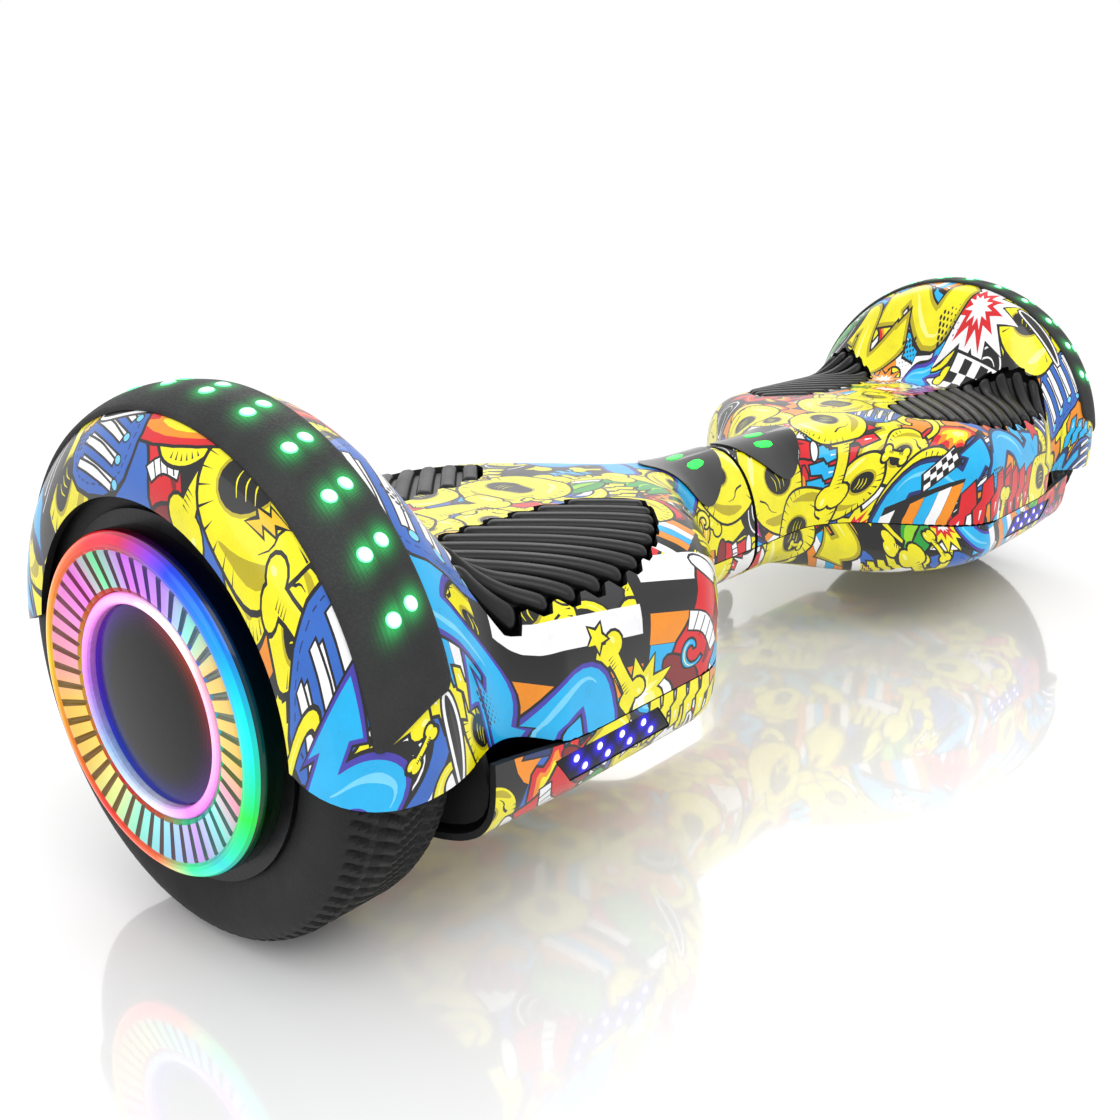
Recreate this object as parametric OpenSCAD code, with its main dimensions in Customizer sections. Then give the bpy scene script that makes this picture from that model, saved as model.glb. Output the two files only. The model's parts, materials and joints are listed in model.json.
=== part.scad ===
// Two-wheeled self-balancing board: two halves that tilt against each other about
// the wheel axle, a hub-motor wheel at each end and two foot pads on each half.
// Units are millimetres. X runs along the wheel axle, Y from front (-) to rear (+),
// Z up, and the origin is on the floor below the middle of the board.

/* [Wheels] */
// Outer radius of the tyres, which is also the height of the axle
tyre_r = 81; // [76:0.5:88]
// Width of a tyre
tyre_w = 43; // [36:0.5:46]
// Radius of the rim that the tyre sits on
rim_r = 58; // [54:0.5:60]
// Radius of the motor axle
axle_r = 8; // [6:0.5:9]
// Depth of the grooves between the tread ribs
tread_depth = 1.6; // [0.8:0.1:2.5]
// Number of flat-topped ribs across the tread
tread_ribs = 60; // [44:2:64]

/* [Wheel covers] */
// Radial step from the rim's edge in to the lit cover
cover_inset = 4.5; // [3:0.1:8]
// Radial distance from the lit cover's edge in to the thin bright ring
ring_inset = 20.5; // [16:0.5:24]
// Width of the thin bright ring
ring_w = 4; // [3:0.1:6]
// How far the cover's rim stands out of the rim disc
cover_rise = 10; // [8:0.1:12]

/* [Shell] */
// Distance from the middle of the board to the outer lip of a fender
half_len = 288; // [286:1:300]
// Half of the deck's width, at the seam
deck_half_w = 88; // [80:1:96]
// Height of the deck's crown above the axle
deck_rise = 35; // [32:1:42]
// Distance from the axle down to the seam between the upper and lower shells
seam_drop = 17; // [12:1:20]
// Distance from the axle down to the underside
belly_drop = 48; // [42:1:52]
// Height of the waist's crown above the pivot's sleeve
waist_rise = 12.5; // [10.5:0.5:16.5]
// Distance from the pivot's sleeve down to the waist's underside
waist_drop = 15.5; // [12.5:0.5:20.5]
// Clear space between the waist's walls and the pivot boss
waist_clear = 1.9; // [1.5:0.1:6]
// Wall of the shells
wall = 2.6; // [2:0.1:3]
// Gap between the two halves at the waist
waist_gap = 2.4; // [1.6:0.1:4]
// Clear radius between the tyre and the crown of a fender, wall left out
fender_gap = 6.9; // [5:0.1:9]
// How far the fender's outer face comes down from its crown over the tyre
lip_drop = 28; // [24:0.5:30]

/* [Fender strips] */
// Width of the black strip over a fender
strip_w = 27; // [20:1:32]
// Thickness of the strip
strip_t = 1.5; // [1:0.1:2.5]
// Pairs of lights along a strip
light_pairs = 12; // [6:1:13]
// Angle between two pairs
light_step = 11.6; // [9:0.1:12]
// Distance between the two lights of a pair
light_gap = 9; // [7:0.5:12]
// Radius of one light
light_r = 2.5; // [1.5:0.1:3]

/* [Foot pads] */
// Thickness of a pad
pad_t = 7; // [5:0.5:9]
// Gap around a pad
pad_clear = 0.8; // [0.5:0.1:1.5]
// How far a pad can be pressed down
pad_travel = 2; // [1:0.1:2.5]
// Radius of a pad's two guide stems
stem_r = 4; // [3:0.5:5]
// Width of the printed bar between the front and rear pads
pad_bar_w = 42; // [36:1:52]

/* [Pivot] */
// Outer radius of the pivot tube
tube_r = 15; // [12:0.5:17]
// Wall of the pivot tube
tube_wall = 2.5; // [2:0.1:3.5]
// Wall of a pivot bushing
bushing_wall = 2.5; // [2:0.1:3]
// Length of the pivot tube in each half
tube_reach = 62; // [50:1:70]

/* [Electrics] */
// Length of the battery pack
battery_l = 100; // [80:1:100]
// Width of the battery pack
battery_w = 76; // [60:1:78]
// Height of the battery pack
battery_h = 27; // [20:1:28]
// Radius of the power button
button_r = 7; // [6:0.5:8]
// How far the power button moves
button_travel = 1.2; // [0.8:0.1:1.5]
// Radius of the charging socket's body
socket_r = 8; // [7:0.5:9]

/* [Fits] */
// Radial clearance of a turning or sliding fit
run_fit = 0.05; // [0.03:0.01:0.1]
// Gap between pieces that are fixed side by side
gap = 0.3; // [0.2:0.05:0.5]

/* [Hidden] */
$fn = 64;

// Heights and radii that follow from the driving sizes
axle_z = tyre_r;
deck_z = axle_z + deck_rise;
seam_z = axle_z - seam_drop;
belly_z = axle_z - belly_drop;
sleeve_r = tube_r + bushing_wall;
waist_z = axle_z + sleeve_r + waist_rise;
waist_belly_z = axle_z - sleeve_r - waist_drop;
boss_wall = 4;
waist_half_w = sleeve_r + boss_wall + waist_clear + wall;
cover_r = rim_r - cover_inset;
ring_r = cover_r - ring_inset;
fender_r = tyre_r + fender_gap + wall;
lip_r = fender_r - lip_drop;
// Distances from the middle of the board where the form changes
crown_x = half_len - 26;
deck_end = half_len - 85;
blend_end = half_len - 44;
waist_end = 40;
flare_end = 132;
tyre_out = half_len - 4.6;
tyre_in = tyre_out - tyre_w;
tyre_mid = tyre_out - tyre_w / 2;
rim_out = tyre_out - 0.4;
cover_x = rim_out + cover_rise;
liner_x = tyre_in - 8;
strip_from = 10;
strip_to = 172;

// ---------------------------------------------------------------- small helpers
function clamp01(t) = max(0, min(1, t));
function ease(a, b, x) = let (t = clamp01((x - a) / (b - a))) t * t * (3 - 2 * t);
function mix(a, b, t) = a + (b - a) * t;
function spow(v, e) = sign(v) * pow(abs(v), e);
function unit(v) = v / max(norm(v), 1e-9);
function ramp(a, b, n) = [for (i = [0 : n]) a + (b - a) * i / n];

// Corner cutting turns a short control outline into a smooth one
function smooth_loop(p, times) = times == 0 ? p
    : smooth_loop([for (i = [0 : len(p) - 1], k = [0.25, 0.75]) mix(p[i], p[(i + 1) % len(p)], k)], times - 1);

// Moves every edge of a clockwise-or-not outline outwards by d
function grow_loop(p, d) = let (n = len(p), turn = sign(loop_area(p))) [for (i = [0 : n - 1]) let (
    a = unit(p[i] - p[(i + n - 1) % n]), b = unit(p[(i + 1) % n] - p[i]),
    na = turn * [a[1], -a[0]], nb = turn * [b[1], -b[0]]) p[i] + (na + nb) * d / (1 + na * nb)];
function loop_area(p) = let (n = len(p))
    sum([for (i = [0 : n - 1]) p[i][0] * p[(i + 1) % n][1] - p[(i + 1) % n][0] * p[i][1]]);
function sum(v, i = 0) = i == len(v) ? 0 : v[i] + sum(v, i + 1);

// ---------------------------------------------------------------- outer form
// s is the distance from the middle of the board, t runs 0 to 1 from front to rear
function seam_at(s) = seam_z + 4 * (1 - ease(60, 120, s)) + 6 * ease(deck_end - 13, blend_end + 1, s);
function half_w_at(s) = mix(waist_half_w, deck_half_w, ease(waist_end, flare_end, s));
function crown_at(s) = mix(waist_z, deck_z, ease(30, 110, s));
function belly_at(s) = mix(waist_belly_z, belly_z, ease(20, 105, s));
function crown_r(s) = fender_r - 0.011 * pow(min(s - crown_x, 0), 2);
function deck_point(s, t) = let (n = mix(2.1, 4.4, ease(25, 110, s)), z0 = seam_at(s), a = 180 * t)
    [s, -half_w_at(s) * spow(cos(a), 2 / n), z0 + (crown_at(s) - z0) * pow(sin(a), 2 / n)];
function fender_point(s, r, t) = let (
    drop = (fender_r - r) / (fender_r - lip_r),
    front_z = seam_z + 6 + 9 * pow(clamp01(drop), 1.5),
    rear_z = front_z + 16 * ease(blend_end, crown_x + 14, s),
    a = mix(asin((front_z - axle_z) / r), 180 - asin((rear_z - axle_z) / r), t))
    [s, -r * cos(a), axle_z + r * sin(a)];
function top_point(s, t) = let (b = ease(deck_end, blend_end, s))
    b == 0 ? deck_point(s, t) : b == 1 ? fender_point(s, crown_r(s), t)
    : mix(deck_point(s, t), fender_point(s, crown_r(s), t), b);
// Past the crown the fender turns down to its lip along a quarter of an oval
function face_point(a, t) = fender_point(crown_x + (half_len - crown_x) * sin(a),
    lip_r + (fender_r - lip_r) * pow(cos(a), 0.9), t);
function bottom_point(s, t) = let (n = mix(2.1, 3.8, ease(25, 110, s)), z0 = seam_at(s) - gap, a = 180 * t)
    [s, -half_w_at(s) * spow(cos(a), 2 / n), z0 - (z0 - belly_at(s)) * pow(sin(a), 2 / n)];

flat_from = flare_end + 18;
flat_to = deck_end - 27;
top_steps = concat([waist_gap / 2], ramp(14, 44, 2), ramp(56, flare_end - 4, 6),
    ramp(flat_from, flat_to, max(1, round((flat_to - flat_from) / 26))), ramp(deck_end - 7, blend_end, 6), [blend_end + 9]);
face_steps = [0, 14, 28, 42, 55, 67, 78, 90];
bottom_steps = concat([for (s = top_steps) if (s < liner_x) s], [tyre_in - 4]);
arc_t = ramp(0, 1, 36);
// More points where the section bends hardest, near the seam
function even(t) = mix(t, ease(0, 1, t), 0.35);

top_grid = concat(
    [for (s = top_steps) [for (t = arc_t) top_point(s, even(t))]],
    [for (a = face_steps) [for (t = arc_t) face_point(a, even(t))]]);
bottom_grid = [for (s = bottom_steps) [for (t = ramp(0, 1, 26)) bottom_point(s, even(t))]];

// Surface normals of a grid, pointing out when the second direction turns over the top
function grid_normal(g, i, j, flip) = let (m = len(g) - 1, n = len(g[0]) - 1,
    u = g[min(i + 1, m)][j] - g[max(i - 1, 0)][j],
    v = g[i][min(j + 1, n)] - g[i][max(j - 1, 0)],
    w = cross(v, u) * flip,
    seam = j == 0 || j == n ? [w[0], w[1], 0] : w) unit(i == 0 ? [0, seam[1], seam[2]] : seam);
function grid_offset(g, d, flip) =
    [for (i = [0 : len(g) - 1]) [for (j = [0 : len(g[0]) - 1]) g[i][j] + d * grid_normal(g, i, j, flip)]];
function flat(g) = [for (row = g) each row];

// Closed solid between two grids of the same size
module grid_solid(outer, inner, flip) {
    m = len(outer);
    n = len(outer[0]);
    k = m * n;
    function at(i, j) = i * n + j;
    function turn(f) = flip > 0 ? [f[2], f[1], f[0]] : f;
    function quad(a, b, c, d) = [turn([a, b, c]), turn([a, c, d])];
    faces = [
        for (i = [0 : m - 2], j = [0 : n - 2]) each quad(at(i, j), at(i, j + 1), at(i + 1, j + 1), at(i + 1, j)),
        for (i = [0 : m - 2], j = [0 : n - 2])
            each quad(k + at(i, j), k + at(i + 1, j), k + at(i + 1, j + 1), k + at(i, j + 1)),
        for (i = [0 : m - 2]) each quad(at(i, 0), at(i + 1, 0), k + at(i + 1, 0), k + at(i, 0)),
        for (i = [0 : m - 2])
            each quad(at(i, n - 1), k + at(i, n - 1), k + at(i + 1, n - 1), at(i + 1, n - 1)),
        for (j = [0 : n - 2]) each quad(at(0, j), k + at(0, j), k + at(0, j + 1), at(0, j + 1)),
        for (j = [0 : n - 2])
            each quad(at(m - 1, j), at(m - 1, j + 1), k + at(m - 1, j + 1), k + at(m - 1, j))
    ];
    polyhedron(points = concat(flat(outer), flat(inner)), faces = faces, convexity = 8);
}

// A patch of the upper form between two depths, from s0 to s1 and t0 to t1
module top_patch(s0, s1, t0, t1, high, low, ns, nt) {
    g = [for (s = ramp(s0, s1, ns)) [for (t = ramp(t0, t1, nt)) top_point(s, t)]];
    function lift(d) = [for (i = [0 : ns]) [for (j = [0 : nt]) let (
        u = g[min(i + 1, ns)][j] - g[max(i - 1, 0)][j],
        v = g[i][min(j + 1, nt)] - g[i][max(j - 1, 0)]) g[i][j] + d * unit(cross(v, u) * -1)]];
    grid_solid(lift(high), lift(low), -1);
}

// ---------------------------------------------------------------- placing helpers
// Every sub-part is drawn on the +X side; side = -1 mirrors it to the left half
module on(side) {
    if (side < 0) mirror([1, 0, 0]) children();
    else children();
}
module along_x(x0, x1, r) {
    translate([x0, 0, axle_z]) rotate([0, 90, 0]) cylinder(r = r, h = x1 - x0);
}
module ring_x(x0, x1, r_out, r_in) {
    difference() {
        along_x(x0, x1, r_out);
        along_x(x0 - 1, x1 + 1, r_in);
    }
}
// Turns a profile drawn as [x, radius] about the axle, with angles measured up from the front
module about_axle(profile, from = 0, to = 360) {
    translate([0, 0, axle_z]) rotate([0, 90, 0]) rotate([0, 0, 180])
        rotate_extrude(angle = to - from, start = 90 - to, $fn = 96)
            polygon([for (q = profile) [q[1], q[0]]]);
}

// ---------------------------------------------------------------- shells
// A pad runs from the printed bar to just inside the deck's edge
bar_y = pad_bar_w / 2;
rim_y = deck_half_w - 8;
pad_outline = [[deck_end + 3, bar_y], [deck_end + 15, rim_y - 40], [deck_end + 25, rim_y - 20],
    [deck_end + 27, rim_y - 3], [deck_end - 21, rim_y], [flare_end + 18, rim_y - 2], [flare_end - 6, rim_y - 15],
    [flare_end - 24, rim_y - 34], [flare_end - 20, max(rim_y - 47, bar_y + 8)], [flare_end + 4, bar_y]];
function pad_loop() = smooth_loop(pad_outline, 2);
leaf_outline = [[5, 2], [16, -11], [34, -17], [48, -13], [57, 0], [44, 9], [24, 11], [9, 8]];
lens_x0 = deck_end - 53;
lens_x1 = deck_end + 7;
lens_outline = [[lens_x0, seam_z - 14], [lens_x0 + 8, seam_z - 4], [lens_x1, seam_z - 4], [lens_x1 - 8, seam_z - 14]];

module upright(outline, z0, z1) {
    translate([0, 0, z0]) linear_extrude(z1 - z0) polygon(outline);
}
module pad_prism(dir, d) {
    upright([for (q = grow_loop(pad_loop(), d)) [q[0], dir * q[1]]], axle_z + 4, deck_z + 12);
}
module leaf_prism(d) {
    upright(grow_loop(smooth_loop(leaf_outline, 2), d), axle_z + 14, deck_z + 12);
}
// The headlight is set in the sloping front of the lower shell
module lens_prism(d, y0, y1) {
    translate([0, y1, 0]) rotate([90, 0, 0]) linear_extrude(y1 - y0) polygon(grow_loop(lens_outline, d));
}
module charge_axis(y0, y1, r) {
    translate([charge_x, y0, charge_z]) rotate([-90, 0, 0]) cylinder(r = r, h = y1 - y0);
}
module button_axis(y0, y1, r) {
    translate([button_x, y0, charge_z]) rotate([-90, 0, 0]) cylinder(r = r, h = y1 - y0);
}
charge_x = flare_end + 18;
button_x = charge_x + 35;
charge_z = seam_z - 12;
rear_y = deck_half_w - 6;

module top_shell() {
    color("gold") difference() {
        grid_solid(top_grid, grid_offset(top_grid, -wall, -1), -1);
        for (dir = [-1, 1]) pad_prism(dir, pad_clear);
    }
}
module bottom_shell(rear_parts) {
    color("gold") difference() {
        grid_solid(bottom_grid, grid_offset(bottom_grid, -wall, 1), 1);
        lens_prism(gap, -deck_half_w - 4, -deck_half_w + 16);
        for (q = screw_spots) translate([q[0], q[1], belly_z - 6]) cylinder(r = screw_r + 0.2, h = 20);
        if (rear_parts) {
            charge_axis(rear_y - 20, rear_y + 12, flange_r + gap);
            button_axis(rear_y - 20, rear_y + 12, button_r + run_fit);
        }
    }
}
// Black inner wall that closes the end of the shells beside the wheel
module wheel_liner() {
    s = liner_x;
    inset = wall + 1.9;
    over = [for (t = ramp(0.03, 0.97, 24)) let (q = top_point(s - 4, t)) [q[1], q[2]]];
    under = [for (t = ramp(0.97, 0.03, 18)) let (q = bottom_point(s, t)) [q[1], q[2]]];
    color("dimgray") difference() {
        translate([s, 0, 0]) rotate([90, 0, 90]) linear_extrude(2) polygon(grow_loop(concat(over, under), -inset));
        along_x(s - 1, s + 4, axle_r + 4);
    }
}

// ---------------------------------------------------------------- frame
spine_w = 44;
spine_z0 = axle_z - 13;
spine_z1 = axle_z + 11;
wing_z = spine_z0 + 1;
wing_t = 4;
wing_half_w = deck_half_w - 18;
wing_x0 = 104;
wing_x1 = liner_x - 6;
saddle_x0 = wing_x1 - 34;
boss_x0 = 14;
screw_r = 2;
screw_spots = [for (s = [wing_x0 + 4, wing_x1 - 5], y = [-30, 30]) [s, y]];
stem_spots = [[flare_end + 18, rim_y - 30], [wing_x1 - 34, rim_y - 26]];
boss_r = stem_r + 3.5;
boss_top = wing_z + wing_t + 5;
clamp_bolts = [for (s = [saddle_x0 + 7, wing_x1 - 7], y = [-15, 15]) [s, y]];
clamp_bolt_r = 2.5;

module frame(bore_r) {
    post_z = belly_z + wall + 1.4;
    color("silver") difference() {
        union() {
            translate([tube_reach - 6, -spine_w / 2, spine_z0])
                cube([saddle_x0 - tube_reach + 8, spine_w, spine_z1 - spine_z0]);
            translate([saddle_x0, -spine_w / 2, spine_z0]) cube([wing_x1 - saddle_x0, spine_w, axle_z - spine_z0]);
            translate([wing_x0, -wing_half_w, wing_z]) cube([saddle_x0 - wing_x0, 2 * wing_half_w, wing_t]);
            for (dir = [-1, 1]) {
                translate([saddle_x0 - 1, dir > 0 ? spine_w / 2 + gap : -wing_half_w, wing_z])
                    cube([wing_x1 - saddle_x0 + 1, wing_half_w - spine_w / 2 - gap, wing_t]);
                for (q = stem_spots) translate([q[0], dir * q[1], wing_z]) cylinder(r = boss_r, h = boss_top - wing_z);
            }
            for (q = screw_spots) translate([q[0], q[1], post_z]) cylinder(r = 5, h = wing_z + 1 - post_z);
            along_x(boss_x0, tube_reach + 12, sleeve_r + boss_wall);
        }
        along_x(boss_x0 - 1, tube_reach + 1, bore_r);
        along_x(tube_reach, tube_reach + 13, sleeve_r + 1);
        translate([tube_reach + 11, -spine_w / 2 + 5, spine_z0 + 5])
            cube([saddle_x0 - tube_reach - 17, spine_w - 10, spine_z1]);
        along_x(saddle_x0 - 4, wing_x1 + 1, axle_r);
        for (dir = [-1, 1], q = stem_spots)
            translate([q[0], dir * q[1], wing_z - 1]) cylinder(r = stem_r + run_fit, h = boss_top - wing_z + 2);
        for (q = screw_spots) translate([q[0], q[1], post_z - 1]) cylinder(r = screw_r, h = 16);
        for (q = clamp_bolts) translate([q[0], q[1], axle_z - 11]) cylinder(r = clamp_bolt_r, h = 14);
    }
}
module axle_clamp() {
    color("gray") difference() {
        translate([saddle_x0 + 2.5, -spine_w / 2 + 1, axle_z + gap])
            cube([wing_x1 - saddle_x0 - 2.5, spine_w - 2, 12]);
        along_x(saddle_x0 - 4, wing_x1 + 1, axle_r);
        for (q = clamp_bolts) translate([q[0], q[1], axle_z - 1]) cylinder(r = clamp_bolt_r + 0.2, h = 16);
    }
}
// Shell screws from below and the four bolts of the axle clamp
module screws() {
    color("dimgray") {
        for (q = screw_spots) {
            translate([q[0], q[1], belly_z + 0.6]) cylinder(r = screw_r, h = 15);
            translate([q[0], q[1], belly_z - 1.2]) cylinder(r = 3.8, h = 1.8);
        }
        for (q = clamp_bolts) {
            translate([q[0], q[1], axle_z - 9]) cylinder(r = clamp_bolt_r, h = 22);
            translate([q[0], q[1], axle_z + 12 + gap]) difference() {
                cylinder(r = 4.4, h = 4);
                translate([0, 0, 1.5]) cylinder(r = 2.3, h = 3, $fn = 6);
            }
        }
    }
}

// ---------------------------------------------------------------- foot pads
module pad(dir) {
    color("black") {
        intersection() {
            pad_prism(dir, 0);
            if (dir < 0) top_patch(102, deck_end + 34, 0.02, 0.49, -0.6, -pad_t, 12, 14);
            else top_patch(102, deck_end + 34, 0.51, 0.98, -0.6, -pad_t, 12, 14);
        }
        for (q = stem_spots) {
            top = crown_at(q[0]) - pad_t + 0.5;
            translate([q[0], dir * q[1], wing_z - pad_travel]) cylinder(r = stem_r, h = top - wing_z);
        }
    }
}

// ---------------------------------------------------------------- fender strip and lights
strip_x0 = crown_x - strip_w / 2 + 4;
module fender_strip() {
    lo = 0.25;
    inner = [for (x = ramp(strip_x0, crown_x, 5)) [x, crown_r(x) + lo]];
    outer = [for (a = [12, 24, 36]) [crown_x + (half_len - crown_x) * sin(a), lip_r + (fender_r - lip_r) * pow(cos(a), 0.9) + lo]];
    skin = concat(inner, outer);
    lift = [for (q = skin) [q[0], q[1] + strip_t]];
    back = [for (i = [len(lift) - 1 : -1 : 0]) lift[i]];
    color([0.12, 0.12, 0.12]) difference() {
        about_axle(concat(skin, back), strip_from, strip_to);
        each_light() cylinder(r = light_r, h = 12);
    }
}
module each_light() {
    first = 91 - light_step * (light_pairs - 1) / 2;
    for (i = [0 : light_pairs - 1], k = [-1, 1])
        translate([crown_x + 2 + k * light_gap / 2, 0, axle_z]) rotate([90 - first - i * light_step, 0, 0])
            translate([0, 0, fender_r - 6]) children();
}
module fender_lights() {
    color([0.35, 1, 0.6]) each_light() translate([0, 0, 6.3]) cylinder(r = light_r - 0.02, h = strip_t);
}

// ---------------------------------------------------------------- waist panel
module waist_panel() {
    color([0.1, 0.1, 0.12]) intersection() {
        leaf_prism(0);
        top_patch(3, 62, 0.12, 0.88, 0.9, 0.4, 10, 26);
    }
}
// Two slanted status bars let into the panel
module waist_lights() {
    color([0.1, 0.9, 0.3]) intersection() {
        for (k = [0, 1]) upright([for (q = [[22, -9], [36, -9], [38, -6], [24, -6]]) [q[0] + 2 * k, q[1] + 6 * k]],
            axle_z + 14, deck_z + 12);
        top_patch(3, 62, 0.12, 0.88, 1.3, 0.95, 10, 26);
    }
}

// ---------------------------------------------------------------- headlight
lens_y = -deck_half_w + 0.5;
module tip_back() {
    translate([0, lens_y, seam_z - 4]) rotate([-18, 0, 0]) translate([0, -lens_y, -(seam_z - 4)]) children();
}
module headlight_lens() {
    color([0.08, 0.08, 0.16]) intersection() {
        lens_prism(0, -deck_half_w - 4, -deck_half_w + 16);
        tip_back() lens_prism(20, lens_y, lens_y + 2);
    }
}
module headlight_leds() {
    color([0.35, 0.3, 1]) tip_back() {
        lens_prism(-1.5, lens_y + 4.4, lens_y + 5.6);
        for (i = [0 : 3], k = [0, 1])
            translate([lens_x0 + 12 + i * 11 + k * 4.5, lens_y + 4.8, seam_z - 11 + k * 4.5]) rotate([90, 0, 0])
                cylinder(r = 1.5, h = 2.4);
    }
}

// ---------------------------------------------------------------- boards
module sensor_board() {
    color("darkgreen") difference() {
        translate([wing_x0 + 12, -15, spine_z1 + 4]) cube([60, 30, 1.6]);
        for (s = [4, 56], y = [-11, 11]) translate([wing_x0 + 12 + s, y, spine_z1]) cylinder(r = 1.4, h = 9);
    }
    color("dimgray") for (s = [16, 40]) translate([wing_x0 + 12 + s, -5, spine_z1 + 5.6]) cube([10, 10, 1.2]);
    color("silver") for (s = [4, 56], y = [-17.5, 13.5])
        translate([wing_x0 + 10.5 + s, y, spine_z1]) cube([3, 4, 4]);
}

// ---------------------------------------------------------------- hub motor and wheel
bearing_r = axle_r + 9;
bearing_w = 7;
magnet_r = rim_r - 4;
stator_r = magnet_r - 4.4;
stator_x0 = tyre_in + 12;
stator_x1 = rim_out - 12;
magnets_n = 30;
teeth_n = 18;

module axle() {
    color("silver") difference() {
        along_x(saddle_x0 + 3, rim_out - 2.5, axle_r);
        along_x(saddle_x0 + 2, stator_x0 + 3, 3);
    }
}
module stator() {
    tooth_l = stator_r - 22;
    color("peru") difference() {
        union() {
            along_x(stator_x0, stator_x1, 24);
            translate([0, 0, axle_z]) for (i = [0 : teeth_n - 1]) rotate([i * 360 / teeth_n, 0, 0]) {
                translate([stator_x0 + 2, -2, 22]) cube([stator_x1 - stator_x0 - 4, 4, tooth_l - 0.4]);
                translate([stator_x0 - 1, -3.4, 27]) cube([stator_x1 - stator_x0 + 2, 6.8, tooth_l - 10]);
                translate([stator_x0 + 2, -6, stator_r - 3]) cube([stator_x1 - stator_x0 - 4, 12, 2]);
            }
        }
        along_x(stator_x0 - 1, stator_x1 + 1, axle_r);
    }
}
// Rim drum with its two end plates, each carrying a bearing
module rim() {
    color("gray") difference() {
        union() {
            ring_x(tyre_in + 4, rim_out, rim_r, magnet_r);
            along_x(tyre_in + 2, tyre_in + 6, rim_r - 2);
            along_x(rim_out - 4, rim_out, rim_r - 1);
            along_x(tyre_in + 2, tyre_in + 2 + bearing_w, bearing_r + 4);
            along_x(rim_out - 1 - bearing_w, rim_out, bearing_r + 4);
        }
        along_x(tyre_in + 1, rim_out - 1, bearing_r);
        along_x(rim_out - 2, rim_out + 1, bearing_r - 3);
    }
}
module magnets() {
    arc = PI * (magnet_r - 3) * 2 / magnets_n - 1;
    color("silver") translate([0, 0, axle_z]) for (i = [0 : magnets_n - 1]) rotate([i * 360 / magnets_n, 0, 0])
        translate([stator_x0, -arc / 2, magnet_r - 3.2]) cube([stator_x1 - stator_x0, arc, 3]);
}
module bearings() {
    color("lightgray") {
        ring_x(tyre_in + 2, tyre_in + 2 + bearing_w, bearing_r, axle_r + run_fit);
        ring_x(rim_out - 1 - bearing_w, rim_out - 2, bearing_r, axle_r + run_fit);
    }
}
module tyre() {
    shoulder = [[0, 15], [0, 9.5], [1.4, 4.8], [4.4, tread_depth + 1], [tread_edge + 0.5, tread_depth + gap]];
    left = [for (q = shoulder) [tyre_in + q[0], tyre_r - q[1]]];
    right = [for (i = [len(shoulder) - 1 : -1 : 0]) [tyre_out - shoulder[i][0], tyre_r - shoulder[i][1]]];
    color([0.1, 0.1, 0.1]) {
        about_axle(concat([[tyre_in + 2, rim_r]], left, right, [[tyre_out - 1, rim_r]]));
        tread_band();
    }
}
// Ring of ribs across the tread, each ending in a flat that the tyre can rest on
tread_edge = 7;
module tread_band() {
    pitch = 360 / tread_ribs;
    flat_half = pitch * 0.37;
    foot_half = pitch * 0.43;
    foot_r = tyre_r - tread_depth;
    top_r = tyre_r / cos(flat_half);
    tooth = [[foot_r, -foot_half], [top_r, -flat_half], [top_r, flat_half], [foot_r, foot_half]];
    translate([tyre_in + tread_edge, 0, axle_z]) rotate([0, 90, 0]) difference() {
        linear_extrude(tyre_w - 2 * tread_edge) polygon([for (i = [0 : tread_ribs - 1]) for (q = tooth)
            let (a = i * pitch + q[1]) [q[0] * cos(a), q[0] * sin(a)]]);
        translate([0, 0, -1]) cylinder(r = foot_r - 3, h = tyre_w);
    }
}
module wheel_cover() {
    r = cover_r;
    x = cover_x;
    color([0.6, 0.8, 0.9]) about_axle([[rim_out, r], [x - 4.5, r], [x - 1.5, r - 0.9], [x, r - 3.3], [x, r - 5],
        [x - 2.5, ring_r + ring_w / 2 + gap], [x - 4.7, ring_r + ring_w / 2 + gap], [x - 2.3, r - 5.4],
        [x - 2.9, r - 2.9], [x - 5, r - 2.2], [rim_out, r - 2.2]]);
}
module cover_ring() {
    a = ring_r - ring_w / 2;
    b = ring_r + ring_w / 2;
    x = cover_x - 5.5;
    color([1, 0.85, 1]) about_axle([[x, a + gap], [x, b], [x + 2.6, b], [x + 3.7, b - 1], [x + 3.7, a + 1.2],
        [x + 2.6, a + gap]]);
}
module cover_disc() {
    a = ring_r - ring_w / 2;
    x = cover_x - 6.5;
    color([0.06, 0.06, 0.08]) about_axle([[rim_out, 0], [rim_out, 20], [x, 20], [x, a + ring_w - 0.2],
        [x + 1, a + ring_w - 0.2], [x + 1, a], [x + 2.6, a], [x + 3.3, a - 2], [x + 3.7, a - 10], [x + 3.8, 0]]);
}

// ---------------------------------------------------------------- middle of the board
module pivot_tube() {
    color("silver") difference() {
        along_x(-tube_reach, tube_reach + 5, tube_r);
        along_x(-tube_reach - 1, tube_reach + 6, tube_r - tube_wall);
    }
}
module pivot_bushings() {
    color("goldenrod") for (x = [boss_x0, tube_reach - 12])
        ring_x(x, x + 12, sleeve_r, tube_r + run_fit);
}
module pivot_circlip() {
    color("dimgray") difference() {
        ring_x(tube_reach + 0.8, tube_reach + 2.4, tube_r + 2.4, tube_r);
        translate([tube_reach, -2, axle_z]) cube([4, 4, tube_r + 6]);
    }
}
// Rubber seal that fills the left half's end and faces the gap
module waist_seal() {
    s = waist_gap / 2;
    over = [for (t = ramp(0, 0.97, 20)) let (q = top_point(s, t)) [q[1], q[2]]];
    under = [for (t = ramp(1, 0.03, 20)) let (q = bottom_point(s, t)) [q[1], q[2]]];
    color([0.08, 0.08, 0.08]) difference() {
        translate([-s - 5, 0, 0]) rotate([90, 0, 90]) linear_extrude(s + 5.6)
            polygon(grow_loop(concat(over, under), -wall - 0.4));
        along_x(-20, 20, tube_r);
    }
}

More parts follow.
